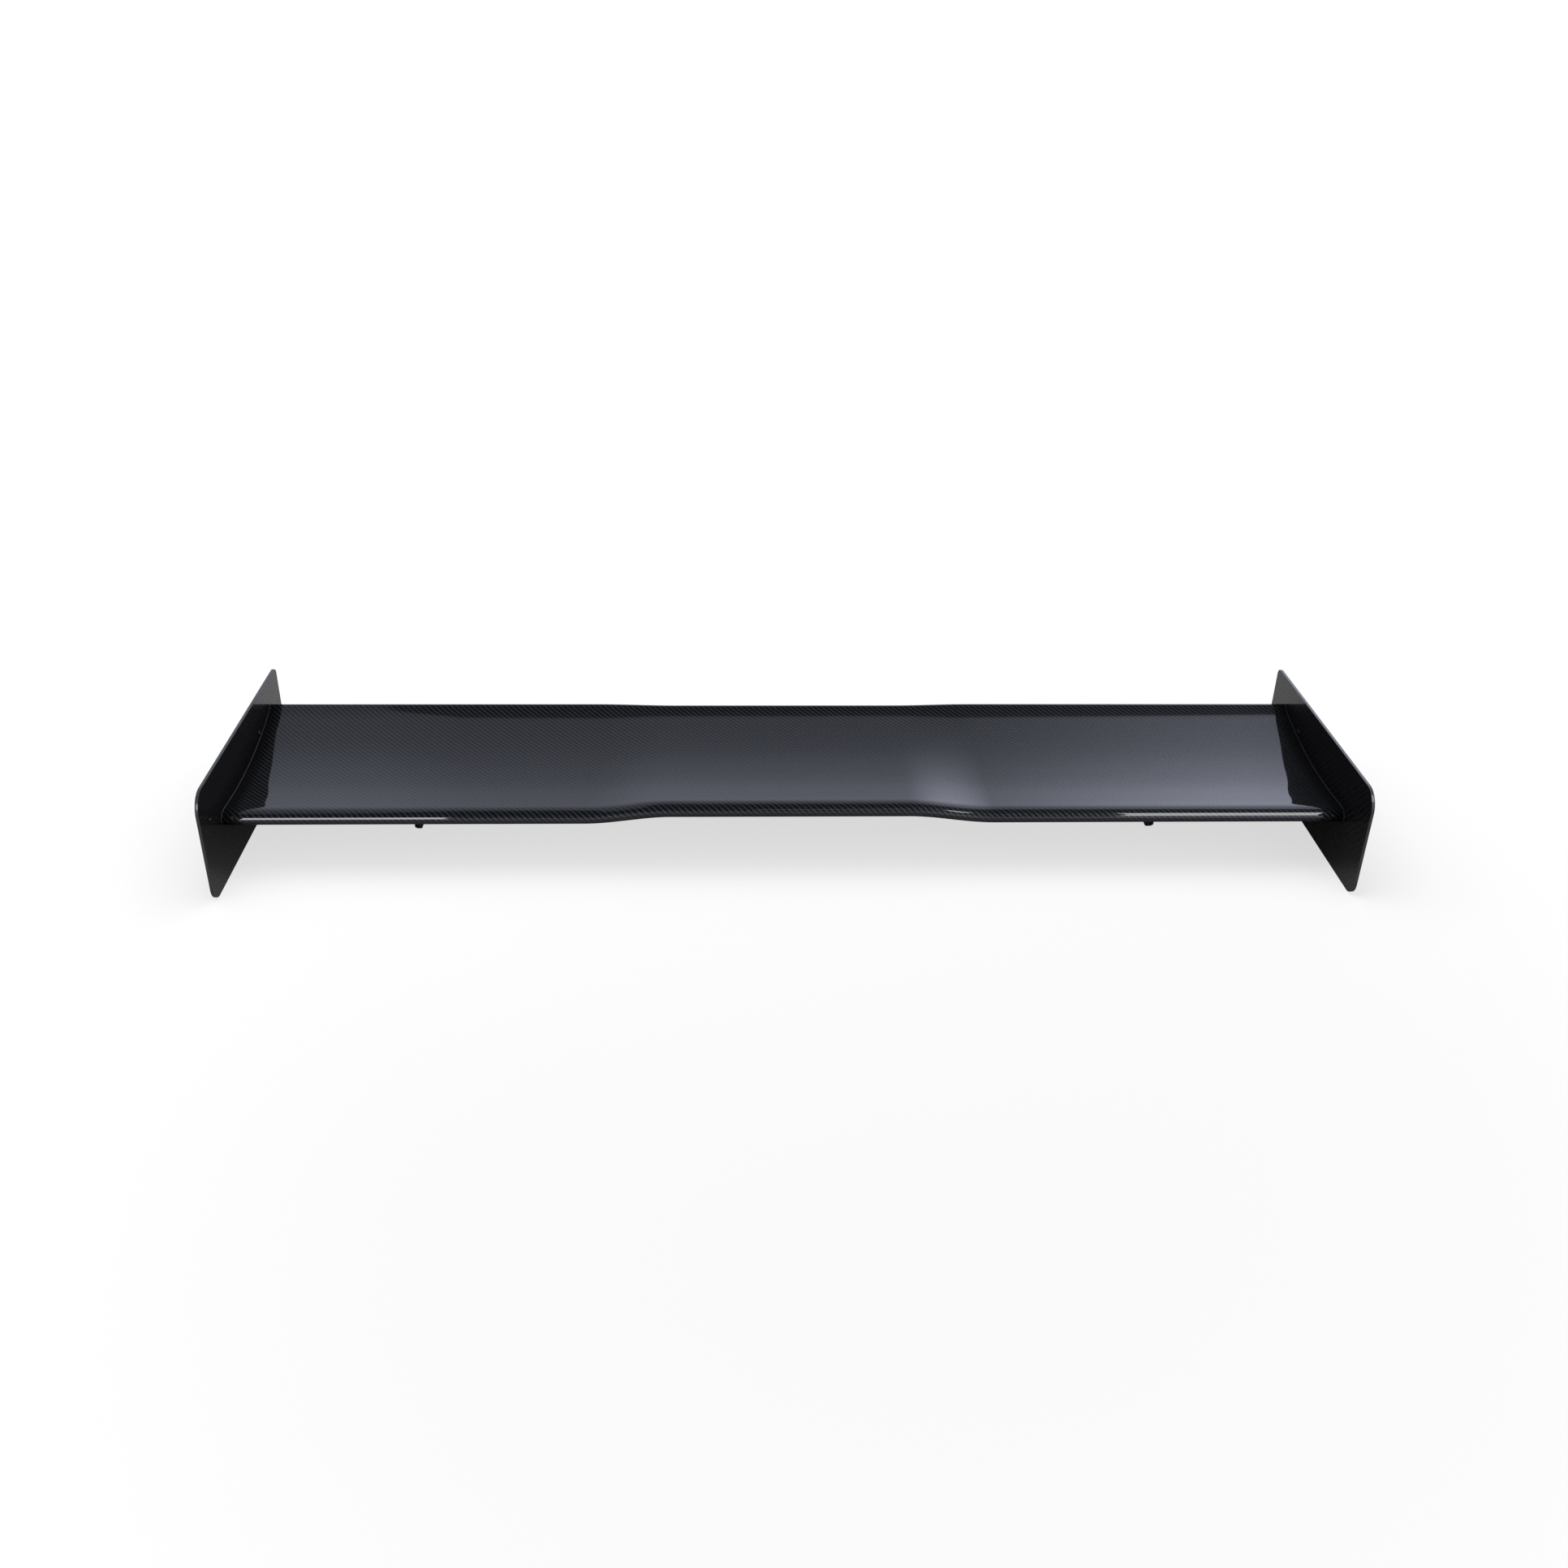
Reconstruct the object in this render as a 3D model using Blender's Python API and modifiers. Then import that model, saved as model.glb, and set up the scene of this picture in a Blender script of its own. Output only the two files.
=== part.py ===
"""Racing rear wing: a moulded carbon blade held between two endplates, on two swivelling feet.

Metres, +Z up, +Y rearward (towards the trailing edge), +X to the right of someone who stands
ahead of the leading edge and looks rearward. The origin is on the surface that the endplates
stand on, under the middle of the wing.

Outlines and places along the chord are in millimetres from the leading-edge datum, as
(distance behind it, height above it), because that is how a wing's drawing is dimensioned.
"""

import math

import bmesh
import bpy
import numpy as np
from mathutils import Matrix, Vector

MM = 0.001
GAP = 0.3  # left between pieces that touch on the real wing

# The wing as a whole
SPAN = 1500.0
PLATE_THICKNESS = 4.0
PLATE_LENGTH = 391.0
PLATE_HEIGHT = 157.0
PLATE_CORNERS = {"rear_top": 10.0, "front_top": 28.0, "front_foot": 20.0, "rear_foot": 14.0}
DATUM_BEHIND_PLATE_FRONT = 71.0
DATUM_ABOVE_PLATE_FOOT = 88.0

# The blade's section, from the top of the trailing edge round the nose to the bottom of it
SECTION = [
    (270.0, 32.4), (255.0, 25.4), (236.0, 19.8), (205.0, 12.8), (165.0, 6.0), (120.0, 2.0),
    (75.0, 0.8), (42.0, 1.9), (24.0, 2.9), (13.0, 3.0), (4.5, -0.2), (0.3, -6.8),
    (2.4, -12.5), (9.0, -16.3), (24.0, -21.0), (55.0, -26.2), (92.0, -28.0), (130.0, -25.2),
    (170.0, -17.2), (210.0, -4.0), (245.0, 14.0), (270.0, 29.0),
]
PARTING_POINT = 13  # the skins meet at this point of the section, under the nose
SKIN_THICKNESS = 1.4

# The middle of the blade is turned to a lower incidence, with a ramp on each side
TWIST_DEGREES = 2.85
TWIST_CENTRE = (215.0, 8.0)
RAMP_START = 160.0
RAMP_END = 275.0

# Inside the blade
FRONT_TUBE = {"centre": (104.0, -10.4), "outer": 16.0, "bore": 13.0}
REAR_TUBE = {"centre": (156.0, -7.2), "outer": 14.0, "bore": 11.0}
TUBE_END_ROOM = 4.0  # from each end of a tube to the endplate
RIB_THICKNESS = 3.0
RIB_REAR = 232.0
END_RIB_THICKNESS = 12.0
BLOCK_WIDTH = 36.0
BLOCK_FRONT = 58.0
BLOCK_REAR = 190.0

# Heads of the screws, as (radius, height) points from the crown down to the seat
BUTTON_HEAD = [(1.7, 2.7), (3.2, 2.3), (4.3, 1.2), (4.75, 0.0)]
SMALL_BUTTON_HEAD = [(1.2, 2.0), (2.7, 1.6), (3.8, 0.0)]
CAP_HEAD = [(6.0, 8.0), (6.5, 7.4), (6.5, 0.0)]

# Endplate fastening
PLATE_SCREWS = {"front": (38.0, -9.0), "middle": (130.0, -11.5), "rear": (196.0, 0.0)}
PLATE_SCREW = {"diameter": 5.0, "length": 14.0, "key": 3.0}
PLATE_WASHER = {"outer": 14.0, "thickness": 1.0}
INSERT = {"outer": 10.0, "length": 11.0}
TRIM_SCREW_PLACE = (201.0, 20.5)
TRIM_SCREW = {"diameter": 4.0, "length": PLATE_THICKNESS + 4.5, "key": 2.5}
TRIM_NUT = {"across_flats": 7.0, "thickness": 3.0}

# Mounting feet under the blade
FOOT_X = 515.0
FOOT_THICKNESS = 6.0
PIVOT = (98.0, -48.0)
ADJUSTER = (148.0, -50.0)
SWING_DEGREES = 6.0
UPRIGHT_HOLES = [(106.0, -70.0), (146.0, -70.0)]
BOLT = {"diameter": 8.0, "key": 6.0, "proud": 8.0}  # proud: past the far ear, for its nut
BOLT_NUT = {"across_flats": 13.0, "thickness": 6.5}
BUSH = {"outer": 12.0, "length": FOOT_THICKNESS + 0.2}
RUNNING_CLEARANCE = 0.15
BRACKET_WIDTH = 24.0
BRACKET_FLOOR = -32.0
EAR_THICKNESS = 4.0
EAR_GAP = FOOT_THICKNESS + 0.8
EAR_CORNERS = [
    ((164.0, -30.0), 2.0),
    ((164.0, -63.0), 11.0),
    ((90.0, -60.0), 9.0),
    ((84.0, -30.0), 2.0),
]
FOOT_CORNERS = [
    ((160.0, -42.0), 6.0),
    ((160.0, -78.0), 7.0),
    ((100.0, -78.0), 12.0),
    ((84.0, -66.0), 6.0),
    ((82.0, -42.0), 6.0),
    ((90.0, -37.0), 8.0),
    ((108.0, -37.0), 10.0),
]
FOOT_EDGE = 2.0
BRACKET_SCREWS = {"front": (72.0, 19.0), "rear": (178.0, 28.0)}  # place on the chord, and length
BRACKET_SCREW = {"diameter": 6.0, "key": 4.0}

ROUND = 24  # sides of a large turned piece
SMALL_ROUND = 16  # sides of a small one
RUN_OUT = 2.0  # how far a drill goes past the piece that it cuts

# Colour, roughness and metallic value of each finish
FINISHES = {
    "clear_coated_carbon": ((0.012, 0.012, 0.013), 0.12, 0.0),
    "bare_carbon": ((0.02, 0.02, 0.021), 0.45, 0.0),
    "black_anodised": ((0.015, 0.015, 0.016), 0.35, 1.0),
    "black_steel": ((0.03, 0.03, 0.032), 0.4, 1.0),
    "plain_aluminium": ((0.6, 0.6, 0.62), 0.35, 1.0),
    "bronze": ((0.45, 0.3, 0.13), 0.35, 1.0),
}


# ---- Scene, collections and materials


def clear_scene():
    for obj in list(bpy.data.objects):
        bpy.data.objects.remove(obj, do_unlink=True)


def new_collection(name):
    collection = bpy.data.collections.new(name)
    bpy.context.scene.collection.children.link(collection)
    return collection


def link_part(obj, finish):
    """Puts the object among the wing's parts, with a material of its own."""
    PARTS.objects.link(obj)
    colour, roughness, metallic = FINISHES[finish]
    material = bpy.data.materials.new(obj.name + "_" + finish)
    material.use_nodes = True
    shader = material.node_tree.nodes["Principled BSDF"]
    shader.inputs["Base Color"].default_value = (*colour, 1.0)
    shader.inputs["Roughness"].default_value = roughness
    shader.inputs["Metallic"].default_value = metallic
    material.diffuse_color = (*colour, 1.0)
    obj.data.materials.append(material)
    return obj


def link_cutter(obj):
    CUTTERS.objects.link(obj)
    obj.hide_render = True
    obj.display_type = "WIRE"
    return obj


def cut(obj, cutter):
    modifier = obj.modifiers.new(cutter.name, "BOOLEAN")
    modifier.operation = "DIFFERENCE"
    modifier.solver = "EXACT"
    modifier.object = cutter


# ---- The blade's section


def spline_bends(lengths, points):
    """Second derivatives of the natural cubic spline through the points."""
    step = np.diff(lengths)
    count = len(lengths)
    system = np.eye(count)
    right = np.zeros((count, 2))
    for i in range(1, count - 1):
        system[i, i - 1 : i + 2] = step[i - 1], 2 * (step[i - 1] + step[i]), step[i]
        rise = (points[i + 1] - points[i]) / step[i] - (points[i] - points[i - 1]) / step[i - 1]
        right[i] = 6 * rise
    return np.linalg.solve(system, right)


POINTS = np.array(SECTION)
LENGTHS = np.concatenate([[0.0], np.cumsum(np.linalg.norm(np.diff(POINTS, axis=0), axis=1))])
BENDS = spline_bends(LENGTHS, POINTS)


def contour(lengths):
    """Points of the section's outside, at these lengths round it."""
    lengths = np.asarray(lengths, float)
    i = np.clip(np.searchsorted(LENGTHS, lengths, side="right") - 1, 0, len(LENGTHS) - 2)
    step = (LENGTHS[i + 1] - LENGTHS[i])[:, None]
    after = (lengths - LENGTHS[i])[:, None]
    before = step - after
    curved = (BENDS[i] * before**3 + BENDS[i + 1] * after**3) / (6 * step)
    straight_before = (POINTS[i] / step - BENDS[i] * step / 6) * before
    straight_after = (POINTS[i + 1] / step - BENDS[i + 1] * step / 6) * after
    return curved + straight_before + straight_after


def lengths_between(first, last, steps):
    """Lengths from one point of the section to another, with this many steps to each span."""
    spans = [np.linspace(LENGTHS[i], LENGTHS[i + 1], steps + 1)[:-1] for i in range(first, last)]
    return np.concatenate([*spans, [LENGTHS[last]]])


def inner_edges(depth):
    """The section moved inwards by this depth: its upper edge and its lower edge, both from the nose."""
    lengths = np.linspace(0.0, LENGTHS[-1], 600)
    outside = contour(lengths)
    along = np.gradient(outside, lengths, axis=0)
    along /= np.linalg.norm(along, axis=1)[:, None]
    inside = outside + depth * np.column_stack([-along[:, 1], along[:, 0]])
    nose = int(np.argmin(inside[:, 0]))
    return inside[: nose + 1][::-1], inside[nose:]


def inner_outline(front, rear, depth=SKIN_THICKNESS + GAP, steps=14):
    """A closed outline that fills the section inside the skins, between two places on the chord."""
    upper, lower = inner_edges(depth)
    front = max(front, upper[0, 0])
    bunched = 1 - np.cos(np.linspace(0, math.pi / 2, steps + 1))
    places = front + (rear - front) * bunched
    top = [(y, float(np.interp(y, upper[:, 0], upper[:, 1]))) for y in places]
    bottom = [(y, float(np.interp(y, lower[:, 0], lower[:, 1]))) for y in places]
    first = 1 if abs(top[0][1] - bottom[0][1]) < GAP else 0
    return top[::-1] + bottom[first:]


def twist(x):
    """The blade's turn about the spanwise axis at this place along the span."""
    t = min(max((abs(x) - RAMP_START) / (RAMP_END - RAMP_START), 0.0), 1.0)
    return math.radians(TWIST_DEGREES) * (1 - t * t * (3 - 2 * t))


def twisted(point, x):
    """A point of the drawing, as it is at this place along the span."""
    angle = twist(x)
    y = point[0] - TWIST_CENTRE[0]
    z = point[1] - TWIST_CENTRE[1]
    return (
        TWIST_CENTRE[0] + y * math.cos(angle) + z * math.sin(angle),
        TWIST_CENTRE[1] - y * math.sin(angle) + z * math.cos(angle),
    )


def place(x, point):
    """A point of the drawing in the wing's own frame."""
    y = point[0] + DATUM_BEHIND_PLATE_FRONT - PLATE_LENGTH / 2
    return Vector((x, y, point[1] + DATUM_ABOVE_PLATE_FOOT)) * MM


def stations():
    """Places along the span at which the skins are drawn: close together on the ramps."""
    ramp = np.linspace(RAMP_START, RAMP_END, 7)
    right = [RAMP_START / 2, *ramp, FOOT_X, SPAN / 2 - GAP]
    return [-x for x in right[::-1]] + [0.0] + right


# ---- Ways of making a piece


def skin(name, lengths, finish):
    """A moulded skin: an open surface lofted through the stations, with its laminate inwards."""
    bm = bmesh.new()
    section = contour(lengths)
    rows = [[bm.verts.new(place(x, twisted(p, x))) for p in section] for x in stations()]
    for row, following in zip(rows, rows[1:]):
        for i in range(len(row) - 1):
            bm.faces.new((row[i], row[i + 1], following[i + 1], following[i]))
    mesh = bpy.data.meshes.new(name)
    bm.to_mesh(mesh)
    bm.free()
    mesh.shade_smooth()
    obj = link_part(bpy.data.objects.new(name, mesh), finish)
    laminate = obj.modifiers.new("laminate", "SOLIDIFY")
    laminate.thickness = SKIN_THICKNESS * MM
    laminate.offset = -1
    laminate.use_even_offset = True
    return obj


def arc_corner(before, corner, after, radius, steps=6):
    """The points that round one corner of an outline."""
    corner = Vector(corner)
    towards_before = (Vector(before) - corner).normalized()
    towards_after = (Vector(after) - corner).normalized()
    half = towards_before.angle(towards_after) / 2
    centre = corner + (towards_before + towards_after).normalized() * radius / math.sin(half)
    start = corner + towards_before * radius / math.tan(half) - centre
    end = corner + towards_after * radius / math.tan(half) - centre
    return [tuple(centre + radius * start.slerp(end, i / steps)) for i in range(steps + 1)]


def rounded(corners):
    """A closed outline from (point, radius) pairs."""
    points = []
    for i, (corner, radius) in enumerate(corners):
        before = corners[i - 1][0]
        after = corners[(i + 1) % len(corners)][0]
        points += arc_corner(before, corner, after, radius)
    return points


def circle(centre, diameter, steps=SMALL_ROUND):
    turns = [2 * math.pi * i / steps for i in range(steps)]
    radius = diameter / 2
    return [(centre[0] + radius * math.cos(a), centre[1] + radius * math.sin(a)) for a in turns]


def hexagon(centre, across_flats):
    return circle(centre, across_flats / math.cos(math.pi / 6), 6)


def plate(name, outlines, thickness, x, finish=None):
    """Flat outlines, the first with the others as holes in it, standing along the chord at this x."""
    curve = bpy.data.curves.new(name, "CURVE")
    curve.dimensions = "2D"
    curve.fill_mode = "BOTH"
    curve.extrude = thickness * MM / 2
    for outline in outlines:
        spline = curve.splines.new("POLY")
        spline.points.add(len(outline) - 1)
        for point, (y, z) in zip(spline.points, outline):
            point.co = (y * MM, z * MM, 0, 1)
        spline.use_cyclic_u = True
    obj = bpy.data.objects.new(name, curve)
    upright = Matrix(((0, 0, 1), (1, 0, 0), (0, 1, 0))).to_4x4()
    obj.matrix_world = Matrix.Translation(place(x, (0.0, 0.0))) @ upright
    return link_part(obj, finish) if finish else link_cutter(obj)


def as_mesh(obj):
    """The same object as a mesh with welded caps, which can be cut, joined and bevelled."""
    collection = obj.users_collection[0]
    name = obj.name
    bpy.context.view_layer.update()
    graph = bpy.context.evaluated_depsgraph_get()
    mesh = bpy.data.meshes.new_from_object(obj.evaluated_get(graph))
    bm = bmesh.new()
    bm.from_mesh(mesh)
    bmesh.ops.remove_doubles(bm, verts=bm.verts, dist=1e-6)
    bmesh.ops.recalc_face_normals(bm, faces=bm.faces)
    bm.to_mesh(mesh)
    bm.free()
    made = bpy.data.objects.new(name, mesh)
    made.matrix_world = obj.matrix_world.copy()
    made.hide_render = obj.hide_render
    made.display_type = obj.display_type
    bpy.data.objects.remove(obj, do_unlink=True)
    made.name = name
    collection.objects.link(made)
    return made


def turned(name, profile, origin, direction, finish, closed=False, steps=ROUND):
    """A turned piece from (radius, height) points that run down its outside, about the direction."""
    mesh = bpy.data.meshes.new(name)
    bm = bmesh.new()
    verts = [bm.verts.new((r * MM, 0, z * MM)) for r, z in profile]
    for first, second in zip(verts, verts[1:]):
        bm.edges.new((first, second))
    if closed:
        bm.edges.new((verts[-1], verts[0]))
    bm.to_mesh(mesh)
    bm.free()
    obj = link_part(bpy.data.objects.new(name, mesh), finish)
    facing = direction.to_track_quat("Z", "Y").to_matrix().to_4x4()
    obj.matrix_world = Matrix.Translation(origin) @ facing
    screw = obj.modifiers.new("turning", "SCREW")
    screw.steps = steps
    screw.render_steps = steps
    screw.use_merge_vertices = True
    screw.merge_threshold = 1e-6
    return obj


def ring(name, outer, bore, length, origin, direction, finish, steps=ROUND):
    """A washer, a bush or an insert, from its origin along the direction."""
    outer_radius = outer / 2
    bore_radius = bore / 2
    profile = [(outer_radius, length), (outer_radius, 0), (bore_radius, 0), (bore_radius, length)]
    return turned(name, profile, origin, direction, finish, closed=True, steps=steps)


def socket_screw(name, head, screw, length, origin, direction, steps=SMALL_ROUND):
    """A steel screw whose head stands on its origin and whose shank runs the other way."""
    radius = screw["diameter"] / 2
    seat = [(radius, head[-1][1])] if head[-1][0] > radius else []
    crown = head[0][1]
    profile = [(0, crown), *head, *seat, (radius, -length), (0, -length)]
    obj = turned(name, profile, origin, direction, "black_steel", steps=steps)
    depth = max(0.55 * screw["diameter"], 2.0)
    key_radius = screw["key"] / math.sqrt(3)
    socket = cone_cutter(name + "_socket", key_radius, key_radius, 2 * depth, 6)
    socket.matrix_world = obj.matrix_world @ Matrix.Translation((0, 0, crown * MM))
    cut(obj, socket)
    return obj


def cone_cutter(name, radius1, radius2, depth, sides=SMALL_ROUND):
    """An upright cutter, radius1 at its foot and radius2 at its top, about its own middle."""
    bm = bmesh.new()
    bmesh.ops.create_cone(
        bm,
        cap_ends=True,
        segments=sides,
        radius1=radius1 * MM,
        radius2=radius2 * MM,
        depth=depth * MM,
    )
    mesh = bpy.data.meshes.new(name)
    bm.to_mesh(mesh)
    bm.free()
    return link_cutter(bpy.data.objects.new(name, mesh))


def nut(name, size, bore, x, centre):
    outlines = [hexagon(centre, size["across_flats"]), circle(centre, bore)]
    return plate(name, outlines, size["thickness"], x, "black_steel")


# ---- The pieces


def tube_holes():
    return [circle(t["centre"], t["outer"] + 2 * GAP, ROUND) for t in (FRONT_TUBE, REAR_TUBE)]


def make_skins():
    """The two skins. It returns the lower one, which the bracket screws pass through."""
    skin("upper_skin", lengths_between(0, PARTING_POINT, 2), "clear_coated_carbon")
    lower_lengths = lengths_between(PARTING_POINT, len(SECTION) - 1, 2)
    lower_lengths[0] += GAP
    return skin("lower_skin", lower_lengths, "clear_coated_carbon")


def make_tubes():
    length = SPAN - 2 * GAP - 2 * TUBE_END_ROOM
    for name, tube in (("front_spar_tube", FRONT_TUBE), ("rear_spar_tube", REAR_TUBE)):
        origin = place(-length / 2, tube["centre"])
        ring(name, tube["outer"], tube["bore"], length, origin, Vector((1, 0, 0)), "bare_carbon")


def make_ribs():
    for name, x in (
        ("rib_outer_left", -RAMP_END),
        ("rib_inner_left", -RAMP_START),
        ("rib_inner_right", RAMP_START),
        ("rib_outer_right", RAMP_END),
    ):
        outline = [twisted(p, x) for p in inner_outline(0.0, RIB_REAR)]
        plate(name, [outline, *tube_holes()], RIB_THICKNESS, x, "bare_carbon")


def side_names():
    return (("left", -1), ("right", 1))


def make_end_ribs():
    for side, sign in side_names():
        x = sign * (SPAN / 2 - GAP - END_RIB_THICKNESS / 2)
        inserts = [circle(p, INSERT["outer"] + 2 * GAP) for p in PLATE_SCREWS.values()]
        outlines = [inner_outline(0.0, RIB_REAR), *tube_holes(), *inserts]
        plate("end_rib_" + side, outlines, END_RIB_THICKNESS, x, "bare_carbon")


def make_blocks(lower):
    """The solid blocks in the blade above each foot, and the bracket screws' holes in the lower skin."""
    for side, sign in side_names():
        x = sign * FOOT_X
        outlines = [inner_outline(BLOCK_FRONT, BLOCK_REAR, steps=8), *tube_holes()]
        block = as_mesh(plate("mount_block_" + side, outlines, BLOCK_WIDTH, x, "plain_aluminium"))
        for where, (y, length) in BRACKET_SCREWS.items():
            radius = BRACKET_SCREW["diameter"] / 2 + GAP
            depth = length + RUN_OUT
            hole = cone_cutter(f"screw_hole_{side}_{where}", radius, radius, depth)
            hole.location = place(x, (y, BRACKET_FLOOR + depth / 2))
            cut(block, hole)
            cut(lower, hole)


def make_endplates():
    front = -DATUM_BEHIND_PLATE_FRONT
    rear = front + PLATE_LENGTH
    foot = -DATUM_ABOVE_PLATE_FOOT
    top = foot + PLATE_HEIGHT
    outline = rounded(
        [
            ((rear, top), PLATE_CORNERS["rear_top"]),
            ((front, top), PLATE_CORNERS["front_top"]),
            ((front, foot), PLATE_CORNERS["front_foot"]),
            ((rear, foot), PLATE_CORNERS["rear_foot"]),
        ]
    )
    for side, sign in side_names():
        x = sign * (SPAN / 2 + PLATE_THICKNESS / 2)
        bore = PLATE_SCREW["diameter"] + 2 * GAP
        trim_bore = TRIM_SCREW["diameter"] + 2 * GAP
        holes = [circle(p, bore) for p in PLATE_SCREWS.values()]
        holes.append(circle(TRIM_SCREW_PLACE, trim_bore))
        plate("endplate_" + side, [outline, *holes], PLATE_THICKNESS, x, "clear_coated_carbon")


def make_plate_screws():
    """Three button-head screws through each endplate, on washers, into inserts bonded in the end rib."""
    bore = PLATE_SCREW["diameter"] + 2 * GAP
    for side, sign in side_names():
        outwards = Vector((sign, 0, 0))
        insert_x = sign * (SPAN / 2 - GAP - INSERT["length"])
        washer_x = sign * (SPAN / 2 + PLATE_THICKNESS + GAP)
        seat_x = washer_x + sign * (PLATE_WASHER["thickness"] + GAP)
        for where, point in PLATE_SCREWS.items():
            ring(
                f"insert_{side}_{where}",
                INSERT["outer"],
                bore,
                INSERT["length"],
                place(insert_x, point),
                outwards,
                "plain_aluminium",
                SMALL_ROUND,
            )
            ring(
                f"plate_washer_{side}_{where}",
                PLATE_WASHER["outer"],
                bore,
                PLATE_WASHER["thickness"],
                place(washer_x, point),
                outwards,
                "black_steel",
                SMALL_ROUND,
            )
            socket_screw(
                f"plate_screw_{side}_{where}",
                BUTTON_HEAD,
                PLATE_SCREW,
                PLATE_SCREW["length"],
                place(seat_x, point),
                outwards,
            )


def make_trim_screws():
    """One small screw through each endplate from its inner face, with a nut on the outer face."""
    bore = TRIM_SCREW["diameter"] + 2 * GAP
    for side, sign in side_names():
        socket_screw(
            f"trim_screw_{side}",
            SMALL_BUTTON_HEAD,
            TRIM_SCREW,
            TRIM_SCREW["length"],
            place(sign * (SPAN / 2 - GAP), TRIM_SCREW_PLACE),
            Vector((-sign, 0, 0)),
        )
        nut_x = sign * (SPAN / 2 + PLATE_THICKNESS + GAP + TRIM_NUT["thickness"] / 2)
        nut(f"trim_nut_{side}", TRIM_NUT, bore, nut_x, TRIM_SCREW_PLACE)


def arc_slot(width, swing, steps=5):
    """The outline of a curved slot about the pivot, centred on the adjuster."""
    arm = Vector(ADJUSTER) - Vector(PIVOT)
    middle = math.atan2(arm.y, arm.x)
    reach = arm.length
    outline = []
    for radius, end, sense in ((reach + width / 2, swing, 1), (reach - width / 2, -swing, -1)):
        for i in range(steps + 1):
            a = middle + math.radians(sense * (-swing + 2 * swing * i / steps))
            outline.append((PIVOT[0] + radius * math.cos(a), PIVOT[1] + radius * math.sin(a)))
        a = middle + math.radians(end)
        tip = Vector((PIVOT[0] + reach * math.cos(a), PIVOT[1] + reach * math.sin(a)))
        for i in range(1, steps):
            turn = a + (0 if sense > 0 else math.pi) + math.pi * i / steps
            outline.append(tuple(tip + Vector((math.cos(turn), math.sin(turn))) * width / 2))
    return outline


def saddle_outline():
    """The bracket's base from the side: flat underneath, and shaped to the lower skin on top."""
    _, lower = inner_edges(-GAP)
    inset = 2.0  # from the ends of the block above
    front, rear = BLOCK_FRONT + inset, BLOCK_REAR - inset
    places = np.linspace(front, rear, 9)
    top = [(y, float(np.interp(y, lower[:, 0], lower[:, 1]))) for y in places]
    return [(rear, BRACKET_FLOOR), (front, BRACKET_FLOOR), *top]


def make_brackets():
    """A saddle under the skin with two ears, held up into the block by countersunk screws."""
    proud = 1.0  # how far the countersink's cutter stands out of the saddle
    slot_over_swing = 0.4  # degrees that the slot allows past each end of the swing
    slot = arc_slot(BOLT["diameter"] + 4 * GAP, SWING_DEGREES + slot_over_swing)
    hole = circle(PIVOT, BOLT["diameter"] + 2 * RUNNING_CLEARANCE, ROUND)
    shank = BRACKET_SCREW["diameter"] / 2
    head = BRACKET_SCREW["diameter"]
    mouth = head + GAP + proud
    sunk = mouth - shank - GAP
    for side, sign in side_names():
        x = sign * FOOT_X
        name = "mount_bracket_" + side
        bracket = as_mesh(plate(name, [saddle_outline()], BRACKET_WIDTH, x, "black_anodised"))
        for i, way in enumerate((-1, 1)):
            ear_x = x + way * (EAR_GAP + EAR_THICKNESS) / 2
            outlines = [rounded(EAR_CORNERS), slot, hole]
            ear = as_mesh(plate(f"ear_{side}_{i}", outlines, EAR_THICKNESS, ear_x))
            union = bracket.modifiers.new(ear.name, "BOOLEAN")
            union.operation = "UNION"
            union.solver = "EXACT"
            union.object = ear
        for where, (y, length) in BRACKET_SCREWS.items():
            bore = cone_cutter(f"screw_bore_{side}_{where}", shank + GAP, shank + GAP, 2 * length)
            bore.location = place(x, (y, BRACKET_FLOOR))
            seat = cone_cutter(f"screw_seat_{side}_{where}", mouth, shank + GAP, sunk)
            seat.location = place(x, (y, BRACKET_FLOOR - proud + sunk / 2))
            cut(bracket, bore)
            cut(bracket, seat)
            socket_screw(
                f"bracket_screw_{side}_{where}",
                [(head, 0.0), (shank, shank - head)],
                BRACKET_SCREW,
                length,
                place(x, (y, BRACKET_FLOOR + GAP)),
                Vector((0, 0, -1)),
            )


def make_foot(side, x):
    """The plate that the car's upright bolts to, with its holes."""
    outline = rounded(FOOT_CORNERS)
    foot = as_mesh(plate("mount_foot_" + side, [outline], FOOT_THICKNESS, x, "black_anodised"))
    edge = foot.modifiers.new("edge", "BEVEL")
    edge.width = FOOT_EDGE * MM
    edge.segments = 2
    edge.limit_method = "ANGLE"
    edge.angle_limit = math.radians(60)
    bolt_bore = BOLT["diameter"] + 2 * GAP
    holes = {
        "bush": circle(PIVOT, BUSH["outer"] + 2 * GAP, ROUND),
        "adjuster": circle(ADJUSTER, bolt_bore),
        "upright_front": circle(UPRIGHT_HOLES[0], bolt_bore),
        "upright_rear": circle(UPRIGHT_HOLES[1], bolt_bore),
    }
    for hole_name, hole in holes.items():
        drill = plate(f"foot_{hole_name}_{side}", [hole], FOOT_THICKNESS + 2 * RUN_OUT, x)
        cut(foot, as_mesh(drill))
    return foot


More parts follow.
